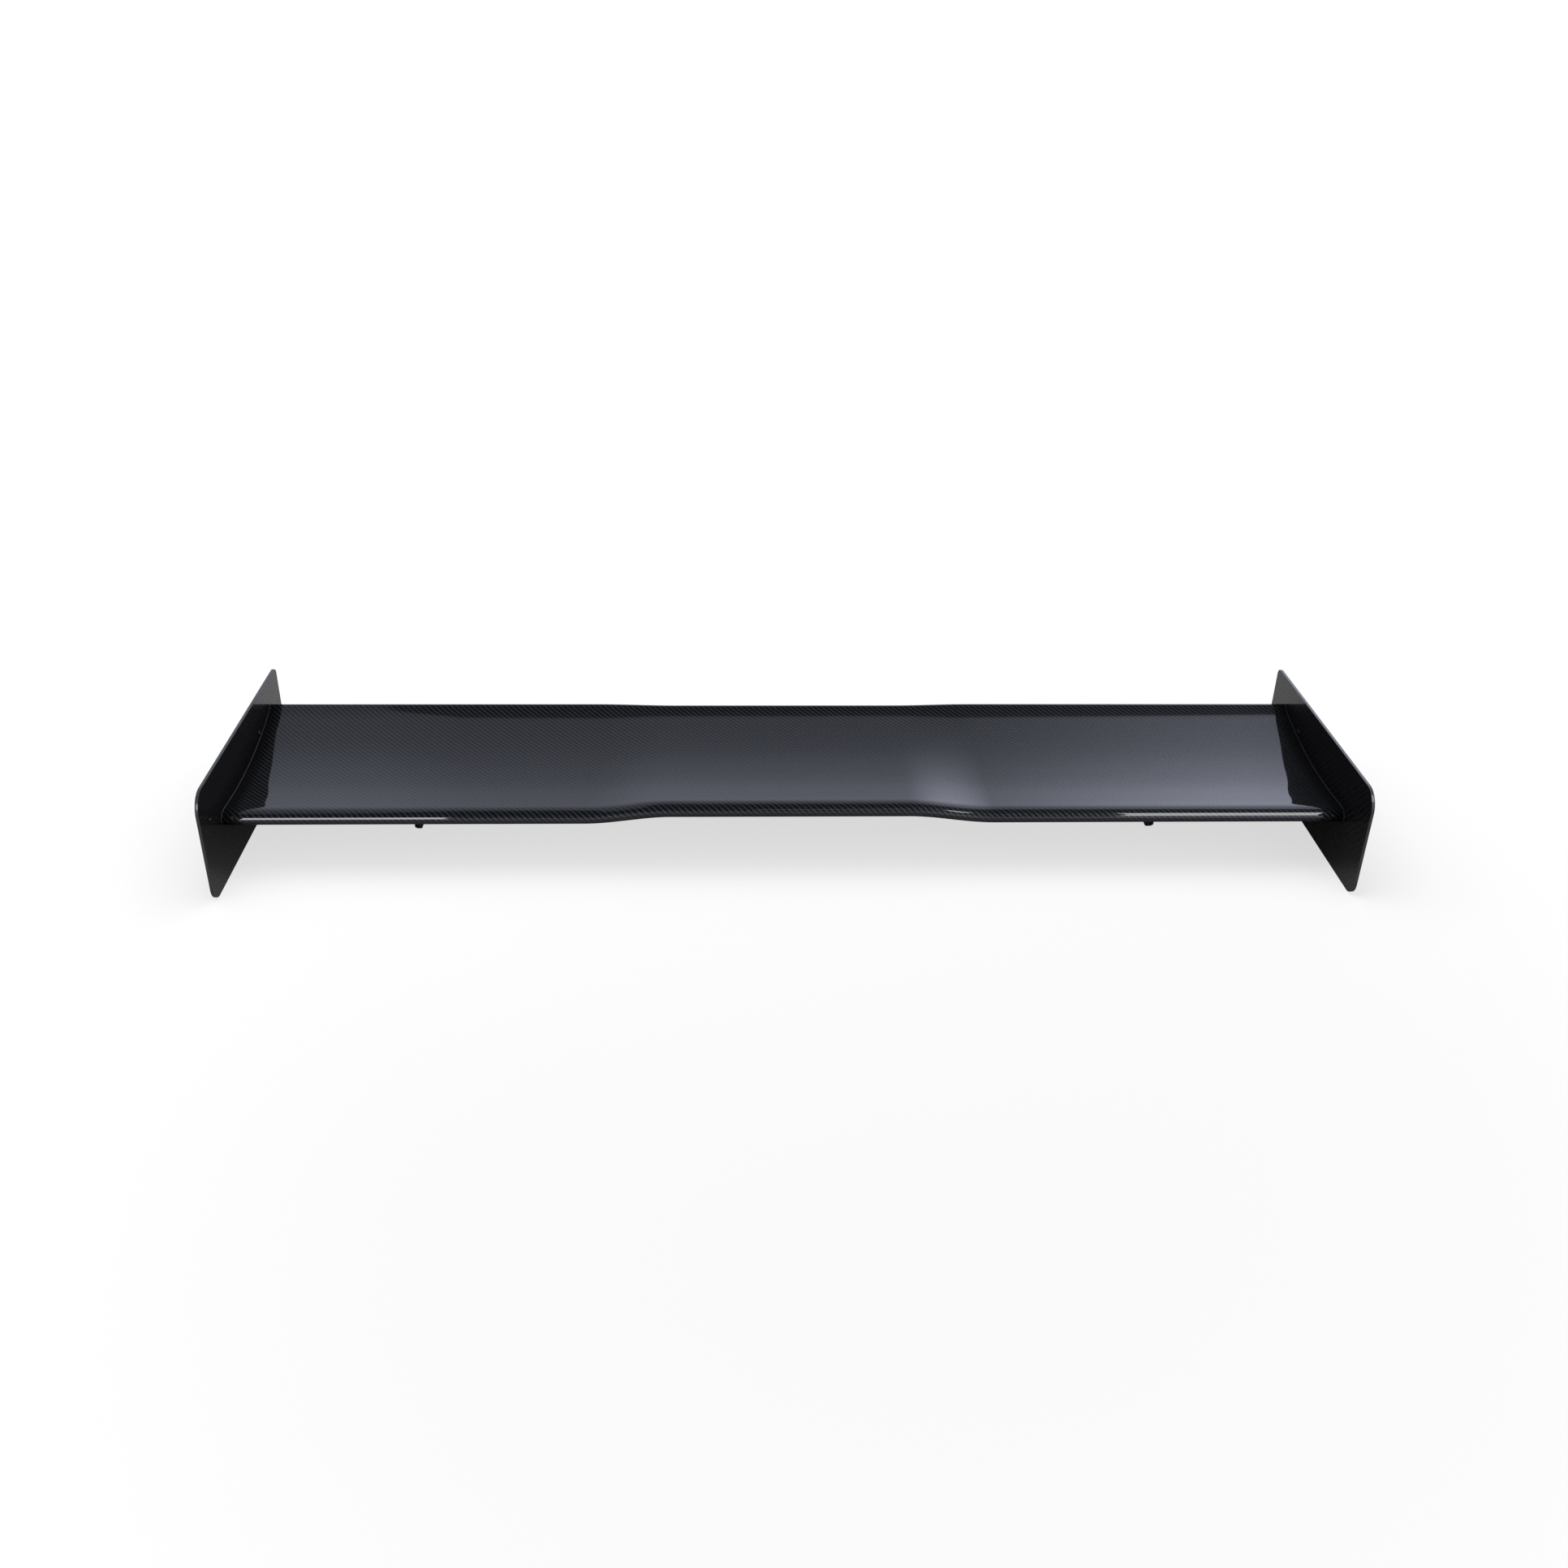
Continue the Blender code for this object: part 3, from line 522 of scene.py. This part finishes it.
glued_from, glued_to = 0.3, 12.0  # from the tip of the trailing edge
glue_lengths = np.linspace(glued_from, glued_to, 5)
upper_inside = contour(glue_lengths) - skin_thickness * outwards(glue_lengths)
lower_lengths = knots[-1] - glue_lengths
lower_inside = contour(lower_lengths) - skin_thickness * outwards(lower_lengths)
trailing_line = [*upper_inside, *lower_inside[::-1], upper_inside[0]]
seam_lengths = knots[parting_point] + np.array([0.0, seam, seam, 0.0, 0.0])
seam_depths = np.array([0.05, 0.05, skin_thickness, skin_thickness, 0.05])
nose_line = contour(seam_lengths) - seam_depths[:, None] * outwards(seam_lengths)
for name, line in (("trailing_edge_glue", trailing_line), ("nose_glue", nose_line)):
    rows = [[place(x, twisted(point, x)) for point in line] for x in stations]
    bead = show(name, loft(name, rows, stations, range(len(line)), closed=True), epoxy)
    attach(bead, "wing")

fillet = 0.6
round_blade = np.linspace(knots[0], knots[-1], 240)
edge, away = contour(round_blade), outwards(round_blade)
for side, sign in (("left", -1), ("right", 1)):
    profile = [(fillet, -0.05)]
    for turn in np.linspace(0, math.pi / 2, 8):
        profile.append((fillet * (1 - math.sin(turn)), fillet * (1 - math.cos(turn))))
    profile += [(0.0, -0.05), profile[0]]
    rows = []
    for point, direction in zip(edge, away):
        rows.append([place(sign * (half_span - back), point + proud * direction) for back, proud in profile])
    bead = show(
        "end_fillet_" + side,
        loft("end_fillet_" + side, rows, round_blade, range(len(profile)), closed=True),
        epoxy,
    )
    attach(bead, "wing")


# ---- The inner structure
# Two wound carbon tubes run from end to end through ribs cut from flat twill laminate. Above each
# foot they also pass through an aluminium block, milled to the skins and glued to them.


def dress(material, *names):
    """Gives a material to pieces that stay as the frame has them."""
    for name in names:
        for material_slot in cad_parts[name].material_slots:
            material_slot.material = material


sheet_laminate, tree, shader = new_material("sawn_twill_laminate", "#17181a", 0.0, 0.5)
here = add(tree, "TexCoord", {})
parts_of = add(tree, "SeparateXYZ", {0: here.outputs["Object"]})
upright = add(tree, "CombineXYZ", {0: parts_of.outputs["Y"], 1: parts_of.outputs["Z"]})
# The cloth's colour carries a painted sheen on the tows that run one way and painted shade where the weave
# dips.
lay_cloth(tree, shader, 2.0, "#26282b", "#121314", 0.1, flat=upright.outputs[0])
ribs = ["rib_outer_left", "rib_inner_left", "rib_inner_right", "rib_outer_right"]
dress(sheet_laminate, *ribs, "end_rib_left", "end_rib_right")

# Wound tube: bands of tow cross at a steep angle, and the tape that pressed them leaves fine rings
wound_tube, tree, shader = new_material("wound_carbon_tube", "#141516", 0.0, 0.42)
here = add(tree, "TexCoord", {})
tape = add(
    tree,
    "TexWave",
    {"Vector": here.outputs["Object"], "Scale": 20.0, "Distortion": 1.5, "Detail": 2.0},
    bands_direction="X",
)
wound = add(tree, "Mix", {0: tape.outputs[0], 6: srgb("#0e0f10"), 7: srgb("#212326")}, data_type="RGBA")
tree.links.new(wound.outputs[2], shader.inputs["Base Color"])
ridges = add(tree, "Bump", {"Height": tape.outputs[0], "Strength": 0.7, "Distance": 0.1 * MM})
tree.links.new(ridges.outputs[0], shader.inputs["Normal"])
dress(wound_tube, "front_spar_tube", "rear_spar_tube")


def tool_marks(tree, shader, spread, depth, rough, smooth):
    """The fine lines that a cutter leaves, spread along the axes by these scales."""
    here = add(tree, "TexCoord", {})
    drawn_out = add(
        tree, "VectorMath", {0: here.outputs["Object"], 1: spread}, operation="MULTIPLY"
    )
    lines = add(tree, "TexNoise", {"Vector": drawn_out.outputs[0], "Scale": 1.0, "Detail": 3.0})
    marks = add(tree, "Bump", {"Height": lines.outputs[0], "Strength": 0.8, "Distance": depth * MM})
    tree.links.new(marks.outputs[0], shader.inputs["Normal"])
    polish = add(tree, "MapRange", {"Value": lines.outputs[0], 1: 0.3, 2: 0.7, 3: smooth, 4: rough})
    tree.links.new(polish.outputs[0], shader.inputs["Roughness"])
    return lines


# Milled 6082: bright, with lines a tenth of a millimetre apart, drawn at a third of a millimetre
machined_aluminium, tree, shader = new_material("machined_aluminium", "#c9cacc", 1.0, 0.3)
tool_marks(tree, shader, (300.0, 3000.0, 300.0), 0.02, 0.42, 0.22)
inserts = [f"insert_{side}_{at}" for side in ("left", "right") for at in ("front", "middle", "rear")]
dress(machined_aluminium, "mount_block_left", "mount_block_right", *inserts)


# ---- The endplates
# Flat plates of clear-coated twill, 4 mm thick, sawn out and rounded along every edge. Their cloth
# is a heavier one than the blade's, laid square to the plate.

plate_length = 391
plate_height = 157
plate_thickness = 4
plate_corners = {"rear_top": 10, "front_top": 28, "front_foot": 20, "rear_foot": 14}
plate_edge = 0.9
plate_bore = 5.6
trim_bore = 4.6


def corner_arc(before, corner, after, radius, steps=14):
    """The points that round one corner of an outline."""
    corner = Vector(corner)
    towards_before = (Vector(before) - corner).normalized()
    towards_after = (Vector(after) - corner).normalized()
    half = towards_before.angle(towards_after) / 2
    centre = corner + (towards_before + towards_after).normalized() * radius / math.sin(half)
    start = corner + towards_before * radius / math.tan(half) - centre
    end = corner + towards_after * radius / math.tan(half) - centre
    return [centre + radius * start.normalized().slerp(end.normalized(), i / steps) for i in range(steps + 1)]


def rounded(corners):
    """A closed outline from (point, radius) pairs."""
    points = []
    for i, (corner, radius) in enumerate(corners):
        points += corner_arc(corners[i - 1][0], corner, corners[(i + 1) % len(corners)][0], radius)
    return points


def circle(centre, diameter, steps=48):
    """A round outline."""
    turns = np.linspace(0, 2 * math.pi, steps, endpoint=False)
    return [(centre[0] + diameter / 2 * math.cos(a), centre[1] + diameter / 2 * math.sin(a)) for a in turns]


def drawn(node):
    """The middle of a frame's node, in the drawing's millimetres: behind and above the datum."""
    low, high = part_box(node)
    middle = ((low + high) / 2 - datum) / MM
    return middle.y, middle.z


def cut_out(name, outlines, thickness, x):
    """A flat solid, standing along the chord with its middle at x, cut to the first outline with
    the others as holes in it."""
    curve = bpy.data.curves.new(name, "CURVE")
    curve.dimensions = "2D"
    curve.fill_mode = "BOTH"
    curve.extrude = thickness * MM / 2
    for outline in outlines:
        spline = curve.splines.new("POLY")
        spline.points.add(len(outline) - 1)
        for point, (y, z) in zip(spline.points, outline):
            point.co = (y * MM, z * MM, 0, 1)
        spline.use_cyclic_u = True
    flat = bpy.data.objects.new(name, curve)
    bpy.context.scene.collection.objects.link(flat)
    upright = Matrix(((0, 0, 1), (1, 0, 0), (0, 1, 0))).to_4x4()
    flat.matrix_world = Matrix.Translation(place(x, (0, 0))) @ upright
    return as_solid(flat)


def as_solid(obj, smooth_under=32):
    """The object with its modifiers made real, as a welded mesh whose points are in the wing's own
    frame, with cloth coordinates along the chord and up."""
    bpy.context.view_layer.update()
    graph = bpy.context.evaluated_depsgraph_get()
    mesh = bpy.data.meshes.new_from_object(obj.evaluated_get(graph))
    mesh.transform(obj.matrix_world)
    name = obj.name
    bpy.data.objects.remove(obj, do_unlink=True)
    bm = bmesh.new()
    bm.from_mesh(mesh)
    bmesh.ops.remove_doubles(bm, verts=bm.verts, dist=1e-6)
    bmesh.ops.recalc_face_normals(bm, faces=bm.faces)
    cloth = bm.loops.layers.uv.get("cloth") or bm.loops.layers.uv.new("cloth")
    for face in bm.faces:
        for loop in face.loops:
            loop[cloth].uv = (loop.vert.co.y, loop.vert.co.z)
    bm.to_mesh(mesh)
    bm.free()
    mesh.shade_smooth()
    mesh.set_sharp_from_angle(angle=math.radians(smooth_under))
    mesh.name = name
    solid = bpy.data.objects.new(name, mesh)
    bpy.context.scene.collection.objects.link(solid)
    return solid


def eased(obj, width, segments, over=50):
    """Rounds the solid's sharp edges."""
    bevel = obj.modifiers.new("eased_edges", "BEVEL")
    bevel.width = width * MM
    bevel.segments = segments
    bevel.limit_method = "ANGLE"
    bevel.angle_limit = math.radians(over)
    return as_solid(obj)


# Lacquer over dark tows: the cloth hardly shows except where the room's light catches it
plate_carbon, tree, shader = new_material("clear_coated_plate_carbon", "#0a0a0b", 0.0, 0.38)
# The cloth's colour carries a painted sheen on the tows that run one way and painted shade where the weave
# dips.
lay_cloth(tree, shader, 3.0, "#0e0e10", "#050506", 0.1, wale=-1)
shader.inputs["Specular IOR Level"].default_value = 0.1
shader.inputs["Coat Weight"].default_value = 1.0
shader.inputs["Coat Roughness"].default_value = 0.03

plate_front = -datum_behind_plate_front
plate_rear = plate_front + plate_length
plate_foot = -datum_above_plate_foot
plate_top = plate_foot + plate_height
plate_outline = rounded(
    [
        ((plate_rear, plate_top), plate_corners["rear_top"]),
        ((plate_front, plate_top), plate_corners["front_top"]),
        ((plate_front, plate_foot), plate_corners["front_foot"]),
        ((plate_rear, plate_foot), plate_corners["rear_foot"]),
    ]
)
for side, sign in (("left", -1), ("right", 1)):
    holes = [circle(drawn(f"plate_screw_{side}_{at}"), plate_bore) for at in ("front", "middle", "rear")]
    holes.append(circle(drawn("trim_screw_" + side), trim_bore))
    middle = sign * (half_span + plate_thickness / 2)
    blank = cut_out("flat_endplate_" + side, [plate_outline, *holes], plate_thickness, middle)
    piece = eased(blank, plate_edge, 4)
    piece.data.materials.append(plate_carbon)
    piece.data.materials.append(cut_edge)
    for face in piece.data.polygons:
        across = [piece.data.vertices[index].co.x for index in face.vertices]
        rounded_over = max(across) - min(across) > 1e-5
        face.material_index = int(rounded_over and abs(face.normal.x) < 0.97)
        face.use_smooth = rounded_over  # the two flat sides mirror without a bend
    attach(piece, "wing")
    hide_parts("endplate_" + side)


# ---- The endplates' screws
# Three M5 button-head screws hold each endplate, on black washers, in inserts glued into the end
# rib. One M4 screw goes the other way near the trailing edge, with a nut on the outside.


def turned(name, rings, closed=False, steps=48):
    """A turned mesh, from rings of (radius, height) down its outside. A third value is the distance
    across flats that a ring is milled to, and a fourth is the pitch of a thread cut in it."""
    thread_depth = 0.54
    bm = bmesh.new()
    loops = []
    for radius, height, *cut in rings:
        across_flats, pitch = (cut + [0, 0])[:2]
        loop = []
        for i in range(steps):
            angle = 2 * math.pi * i / steps
            reach = radius
            if across_flats:
                reach = min(radius, across_flats / 2 / math.cos(angle % (math.pi / 3) - math.pi / 6))
            if pitch:
                wind = (height / pitch - angle / (2 * math.pi)) % 1
                reach -= thread_depth * pitch * abs(2 * wind - 1)
            loop.append(bm.verts.new(Vector((reach * math.cos(angle), reach * math.sin(angle), height)) * MM))
        loops.append(loop)
    pairs = list(zip(loops, loops[1:]))
    if closed:
        pairs.append((loops[-1], loops[0]))
    for upper, lower in pairs:
        for i in range(steps):
            j = (i + 1) % steps
            bm.faces.new((upper[i], lower[i], lower[j], upper[j]))
    bmesh.ops.remove_doubles(bm, verts=bm.verts, dist=1e-7)
    bmesh.ops.dissolve_degenerate(bm, edges=bm.edges, dist=1e-7)
    bmesh.ops.recalc_face_normals(bm, faces=bm.faces)
    mesh = bpy.data.meshes.new(name)
    bm.to_mesh(mesh)
    bm.free()
    mesh.shade_smooth()
    mesh.set_sharp_from_angle(angle=math.radians(32))
    return mesh


def key_socket(key, top, depth):
    """The rings of a hexagon socket, from its bottom up to its mouth at the top of the head."""
    corner = key / math.sqrt(3)
    return [
        (0, top - depth - 0.25 * key),
        (0.5 * key, top - depth, key),
        (corner, top - depth, key),
        (corner, top - 0.2, key),
        (corner + 0.2, top),
    ]


def shank(diameter, pitch, start, length):
    """The rings of a shank: plain as far as its thread starts, and chamfered at its end."""
    radius = diameter / 2
    rings = [(radius, 0), (radius, -start)]
    for height in np.arange(start, length - pitch, pitch / 8):
        rings.append((radius, -height, 0, pitch))
    root = radius - 0.6 * pitch
    return [*rings, (root, -length + 0.6 * pitch), (root - 0.3, -length), (0, -length)]


def fasten(node, mesh, material, facing, crown, body):
    """Stands for a turned node: the mesh, whose crown is this high, facing this way."""
    low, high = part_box(node)
    facing = Vector(facing)
    half = abs((high - low).dot(facing)) / 2
    obj = show("turned_" + node, mesh, material)
    origin = (low + high) / 2 + facing * (half - crown * MM)
    obj.matrix_world = Matrix.Translation(origin) @ facing.to_track_quat("Z", "Y").to_matrix().to_4x4()
    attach(obj, body)
    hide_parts(node)
    return obj


# Black oxide on steel: nearly black, brown-grey where it has rubbed thin, with an oily half-shine
oxide_steel, tree, shader = new_material("black_oxide_steel", "#1a1a1c", 0.9, 0.38)
here = add(tree, "TexCoord", {})
blotches = add(tree, "TexNoise", {"Vector": here.outputs["Object"], "Scale": 700.0, "Detail": 3.0})
thin = add(tree, "MapRange", {"Value": blotches.outputs[0], 1: 0.45, 2: 0.75, 3: 0.0, 4: 1.0})
oxide = add(tree, "Mix", {0: thin.outputs[0], 6: srgb("#18181a"), 7: srgb("#35322f")}, data_type="RGBA")
tree.links.new(oxide.outputs[2], shader.inputs["Base Color"])
oily = add(tree, "MapRange", {"Value": blotches.outputs[0], 1: 0.3, 2: 0.7, 3: 0.28, 4: 0.46})
tree.links.new(oily.outputs[0], shader.inputs["Roughness"])
scale = add(tree, "Bump", {"Height": blotches.outputs[0], "Strength": 0.5, "Distance": 0.02 * MM})
tree.links.new(scale.outputs[0], shader.inputs["Normal"])

button_head = [(2.3, 2.7), (2.9, 2.55), (3.6, 2.1), (4.2, 1.45), (4.6, 0.7), (4.75, 0.2), (4.7, 0.0)]
button_screw = turned(
    "button_screw", [*key_socket(3.0, 2.7, 1.7), *button_head, *shank(5.0, 0.8, 1.0, 14.0)]
)
small_head = [(1.85, 2.0), (2.4, 1.85), (3.0, 1.4), (3.5, 0.8), (3.78, 0.25), (3.75, 0.0)]
small_screw = turned(
    "small_button_screw", [*key_socket(2.5, 2.0, 1.3), *small_head, *shank(4.0, 0.7, 4.5, 8.5)]
)
washer = turned(
    "plate_washer",
    [(6.8, 1.0), (7.0, 0.8), (7.0, 0.15), (6.9, 0.0), (2.75, 0.0), (2.65, 0.1), (2.65, 0.9), (2.75, 1.0)],
    closed=True,
)


def hex_nut(name, across_flats, thickness, bore):
    """A hexagon nut: its corners are turned off at 30 degrees, and its bore is countersunk."""
    flat, hole = across_flats / 2, bore / 2
    corner = flat / math.cos(math.pi / 6)
    rise = (corner - 0.96 * flat) * math.tan(math.pi / 6)
    down = [(0.96 * flat + (corner - 0.96 * flat) * i / 4, thickness - rise * i / 4) for i in range(5)]
    up = [(radius, thickness - height) for radius, height in down[::-1]]
    outside = [(radius, height, across_flats) for radius, height in (*down, *up)]
    mouth = 0.35
    inside = [(hole + mouth, 0), (hole, mouth), (hole, thickness - mouth), (hole + mouth, thickness)]
    return turned(name, [*outside, *inside], closed=True)


trim_nut = hex_nut("trim_nut", 7.0, 3.0, 4.1)
for side, sign in (("left", -1), ("right", 1)):
    for at in ("front", "middle", "rear"):
        end = f"{side}_{at}"
        fasten("plate_screw_" + end, button_screw, oxide_steel, (sign, 0, 0), 2.7, "wing")
        fasten("plate_washer_" + end, washer, oxide_steel, (sign, 0, 0), 1.0, "wing")
    fasten("trim_screw_" + side, small_screw, oxide_steel, (-sign, 0, 0), 2.0, "wing")
    fasten("trim_nut_" + side, trim_nut, oxide_steel, (sign, 0, 0), 3.0, "wing")


# ---- The brackets
# Each is milled from one piece of aluminium and hard anodised black: a saddle that follows the
# lower skin, and two ears for the foot. Two countersunk screws go up through it into the block.

foot_thickness = 6.0
ear_gap = foot_thickness + 0.8
ear_thickness = 4.0
bracket_floor = -32.0
saddle_ends = (60.0, 188.0)
ear_corners = [((164, -30), 2), ((164, -63), 11), ((90, -60), 9), ((84, -30), 2)]
bolt_diameter = 8.0
swing_degrees = 6.4  # each way, with the room that the slot has at its ends
pivot, adjuster = drawn("pivot_bolt_left"), drawn("adjuster_bolt_left")

# Hard anodising is matt black and slightly grey, and keeps the fine lines of the milling under it
anodised, tree, shader = new_material("black_hard_anodised_aluminium", "#0c0c0d", 0.6, 0.4)
lines = tool_marks(tree, shader, (300.0, 300.0, 2600.0), 0.012, 0.5, 0.33)
faded = add(tree, "Mix", {0: lines.outputs[0], 6: srgb("#0b0b0c"), 7: srgb("#1c1c1f")}, data_type="RGBA")
tree.links.new(faded.outputs[2], shader.inputs["Base Color"])


def slot_about(centre, middle, swing, width, steps=12):
    """The outline of a slot that curves about a centre, its middle at a point of that arc."""
    arm = Vector(middle) - Vector(centre)
    start, reach = math.atan2(arm.y, arm.x), arm.length
    swing = math.radians(swing)
    outline = []
    for sense in (1, -1):
        radius = reach + sense * width / 2
        for a in np.linspace(start - sense * swing, start + sense * swing, steps):
            outline.append((centre[0] + radius * math.cos(a), centre[1] + radius * math.sin(a)))
        a = start + sense * swing
        tip = Vector(centre) + reach * Vector((math.cos(a), math.sin(a)))
        first = a + (0 if sense > 0 else math.pi)
        for turn in np.linspace(first, first + math.pi, steps)[1:-1]:
            outline.append(tip + Vector((math.cos(turn), math.sin(turn))) * width / 2)
    return outline


def combine(obj, other, operation):
    """Joins the other solid to this one, or cuts it away."""
    change = obj.modifiers.new(other.name, "BOOLEAN")
    change.operation = operation
    change.object = other
    made = as_solid(obj)
    bpy.data.objects.remove(other, do_unlink=True)
    return made


along_skin = np.linspace(knots[parting_point] + 10, knots[-1] - 20, 200)
under_skin = contour(along_skin) + 0.15 * outwards(along_skin)
saddle_top = [
    (y, float(np.interp(y, under_skin[:, 0], under_skin[:, 1]))) for y in np.linspace(*saddle_ends, 28)
]
saddle = [(saddle_ends[1], bracket_floor), (saddle_ends[0], bracket_floor), *saddle_top]
slot = slot_about(pivot, adjuster, swing_degrees, bolt_diameter + 1.2)
for side, sign in (("left", -1), ("right", 1)):
    low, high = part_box("mount_bracket_" + side)
    x = (low.x + high.x) / 2 / MM
    width = (high.x - low.x) / MM
    bracket = cut_out("milled_bracket_" + side, [saddle], width, x)
    for way in (-1, 1):
        ear_x = x + way * (ear_gap + ear_thickness) / 2
        outlines = [rounded(ear_corners), slot, circle(pivot, bolt_diameter + 0.3)]
        bracket = combine(bracket, cut_out("ear", outlines, ear_thickness, ear_x), "UNION")
    for at in ("front", "rear"):
        screw_low, screw_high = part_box(f"bracket_screw_{side}_{at}")
        centre = (screw_low + screw_high) / 2
        sinker = turned("countersink", [(0, 14), (3.3, 14), (3.3, 3.3), (7.3, -0.7), (0, -0.7)])
        drill = show("countersink", sinker)
        drill.location = (centre.x, centre.y, low.z)
        bracket = combine(bracket, as_solid(drill), "DIFFERENCE")
    piece = eased(bracket, 0.35, 2)
    piece.data.materials.append(anodised)
    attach(piece, "wing")
    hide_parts("mount_bracket_" + side)

for side in ("left", "right"):
    for at in ("front", "rear"):
        name = f"bracket_screw_{side}_{at}"
        low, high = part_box(name)
        length = (high.z - low.z) / MM
        sunk_head = [(5.7, 0.0), (6.0, -0.3), (3.0, -3.3)]
        under_head = [ring for ring in shank(6.0, 1.0, 5.0, length) if ring != (3.0, 0)]
        rings = [*key_socket(4.0, 0.0, 2.2), *sunk_head, *under_head]
        fasten(name, turned(name, rings), oxide_steel, (0, 0, -1), 0.0, "wing")


# ---- The feet
# Each is a 6 mm aluminium plate with well-rounded edges, hard anodised black, that bolts to the
# car's upright. It swings between the bracket's ears, so that the blade's incidence can be set.

foot_corners = [
    ((160, -42), 6), ((160, -78), 7), ((100, -78), 12), ((84, -66), 6),
    ((82, -42), 6), ((90, -37), 8), ((108, -37), 10),
]
upright_holes = [(106, -70), (146, -70)]
bush_bore = 12.3
for side, sign in (("left", -1), ("right", 1)):
    low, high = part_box("mount_foot_" + side)
    x = (low.x + high.x) / 2 / MM
    foot = eased(cut_out("milled_foot_" + side, [rounded(foot_corners)], foot_thickness, x), 2.0, 5)
    bores = [(pivot, bush_bore), (adjuster, bolt_diameter + 0.6)]
    bores += [(centre, bolt_diameter + 0.6) for centre in upright_holes]
    for centre, diameter in bores:
        drill = cut_out("drill", [circle(centre, diameter)], foot_thickness + 4, x)
        foot = combine(foot, drill, "DIFFERENCE")
    piece = eased(foot, 0.3, 2, over=60)
    piece.data.materials.append(anodised)
    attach(piece, "foot_" + side)
    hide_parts("mount_foot_" + side)


# ---- The feet's bushes and bolts
# A plain bush of sintered bronze turns with each foot on an M8 cap screw through the ears. A second
# M8 screw moves with the foot along the ears' curved slot, and clamps it there.

# Sintered bronze: brown-gold and porous, the pores drawn at a third of a millimetre
bronze, tree, shader = new_material("sintered_bronze", "#9a6b3a", 1.0, 0.45)
here = add(tree, "TexCoord", {})
pores = add(tree, "TexVoronoi", {"Vector": here.outputs["Object"], "Scale": 3000.0})
pitted = add(tree, "Bump", {"Height": pores.outputs["Distance"], "Strength": 0.5, "Distance": 0.05 * MM})
tree.links.new(pitted.outputs[0], shader.inputs["Normal"])
# The colour is darker towards the middle of each pore, where the bump is lowest.
darker_in_pores = add(
    tree,
    "Mix",
    {0: pores.outputs["Distance"], 6: srgb("#5a3c1e"), 7: srgb("#a8763f")},
    data_type="RGBA",
)
tree.links.new(darker_in_pores.outputs[2], shader.inputs["Base Color"])

bush_length = foot_thickness + 0.2
bush = turned(
    "pivot_bush",
    [
        (5.7, bush_length), (6.0, bush_length - 0.3), (6.0, 0.3), (5.7, 0),
        (4.4, 0), (4.15, 0.25), (4.15, bush_length - 0.25), (4.4, bush_length),
    ],
    closed=True,
)
bolt_nut = hex_nut("bolt_nut", 13.0, 6.5, 8.1)
low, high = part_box("pivot_bolt_left")
cap_height = 8.0
bolt_length = (high.x - low.x) / MM - cap_height
cap_head = [(5.6, 8.0), (6.1, 7.85), (6.4, 7.4)]
knurled = 60
for height in np.linspace(7.2, 0.6, 12):
    cap_head.append((6.5, height))
cap_head += [(6.2, 0.25), (6.1, 0.0)]
cap_rings = [*key_socket(6.0, 8.0, 4.0), *cap_head, *shank(8.0, 1.25, bolt_length - 10, bolt_length)]
cap_screw = turned("cap_screw", cap_rings, steps=2 * knurled)
head_bottom, head_top = 0.5 * MM, 7.3 * MM
for vertex in cap_screw.vertices:
    on_side = math.hypot(vertex.co.x, vertex.co.y) > 6.45 * MM
    if on_side and head_bottom < vertex.co.z < head_top and vertex.index % 2:
        vertex.co.xy *= 0.97
cap_screw.update()
for side, sign in (("left", -1), ("right", 1)):
    foot_body = "foot_" + side
    outside, inside = (sign, 0, 0), (-sign, 0, 0)
    fasten("pivot_bush_" + side, bush, bronze, outside, bush_length, foot_body)
    for kind, body in (("pivot", "wing"), ("adjuster", foot_body)):
        fasten(f"{kind}_bolt_{side}", cap_screw, oxide_steel, outside, cap_height, body)
        fasten(f"{kind}_nut_{side}", bolt_nut, oxide_steel, inside, 6.5, body)
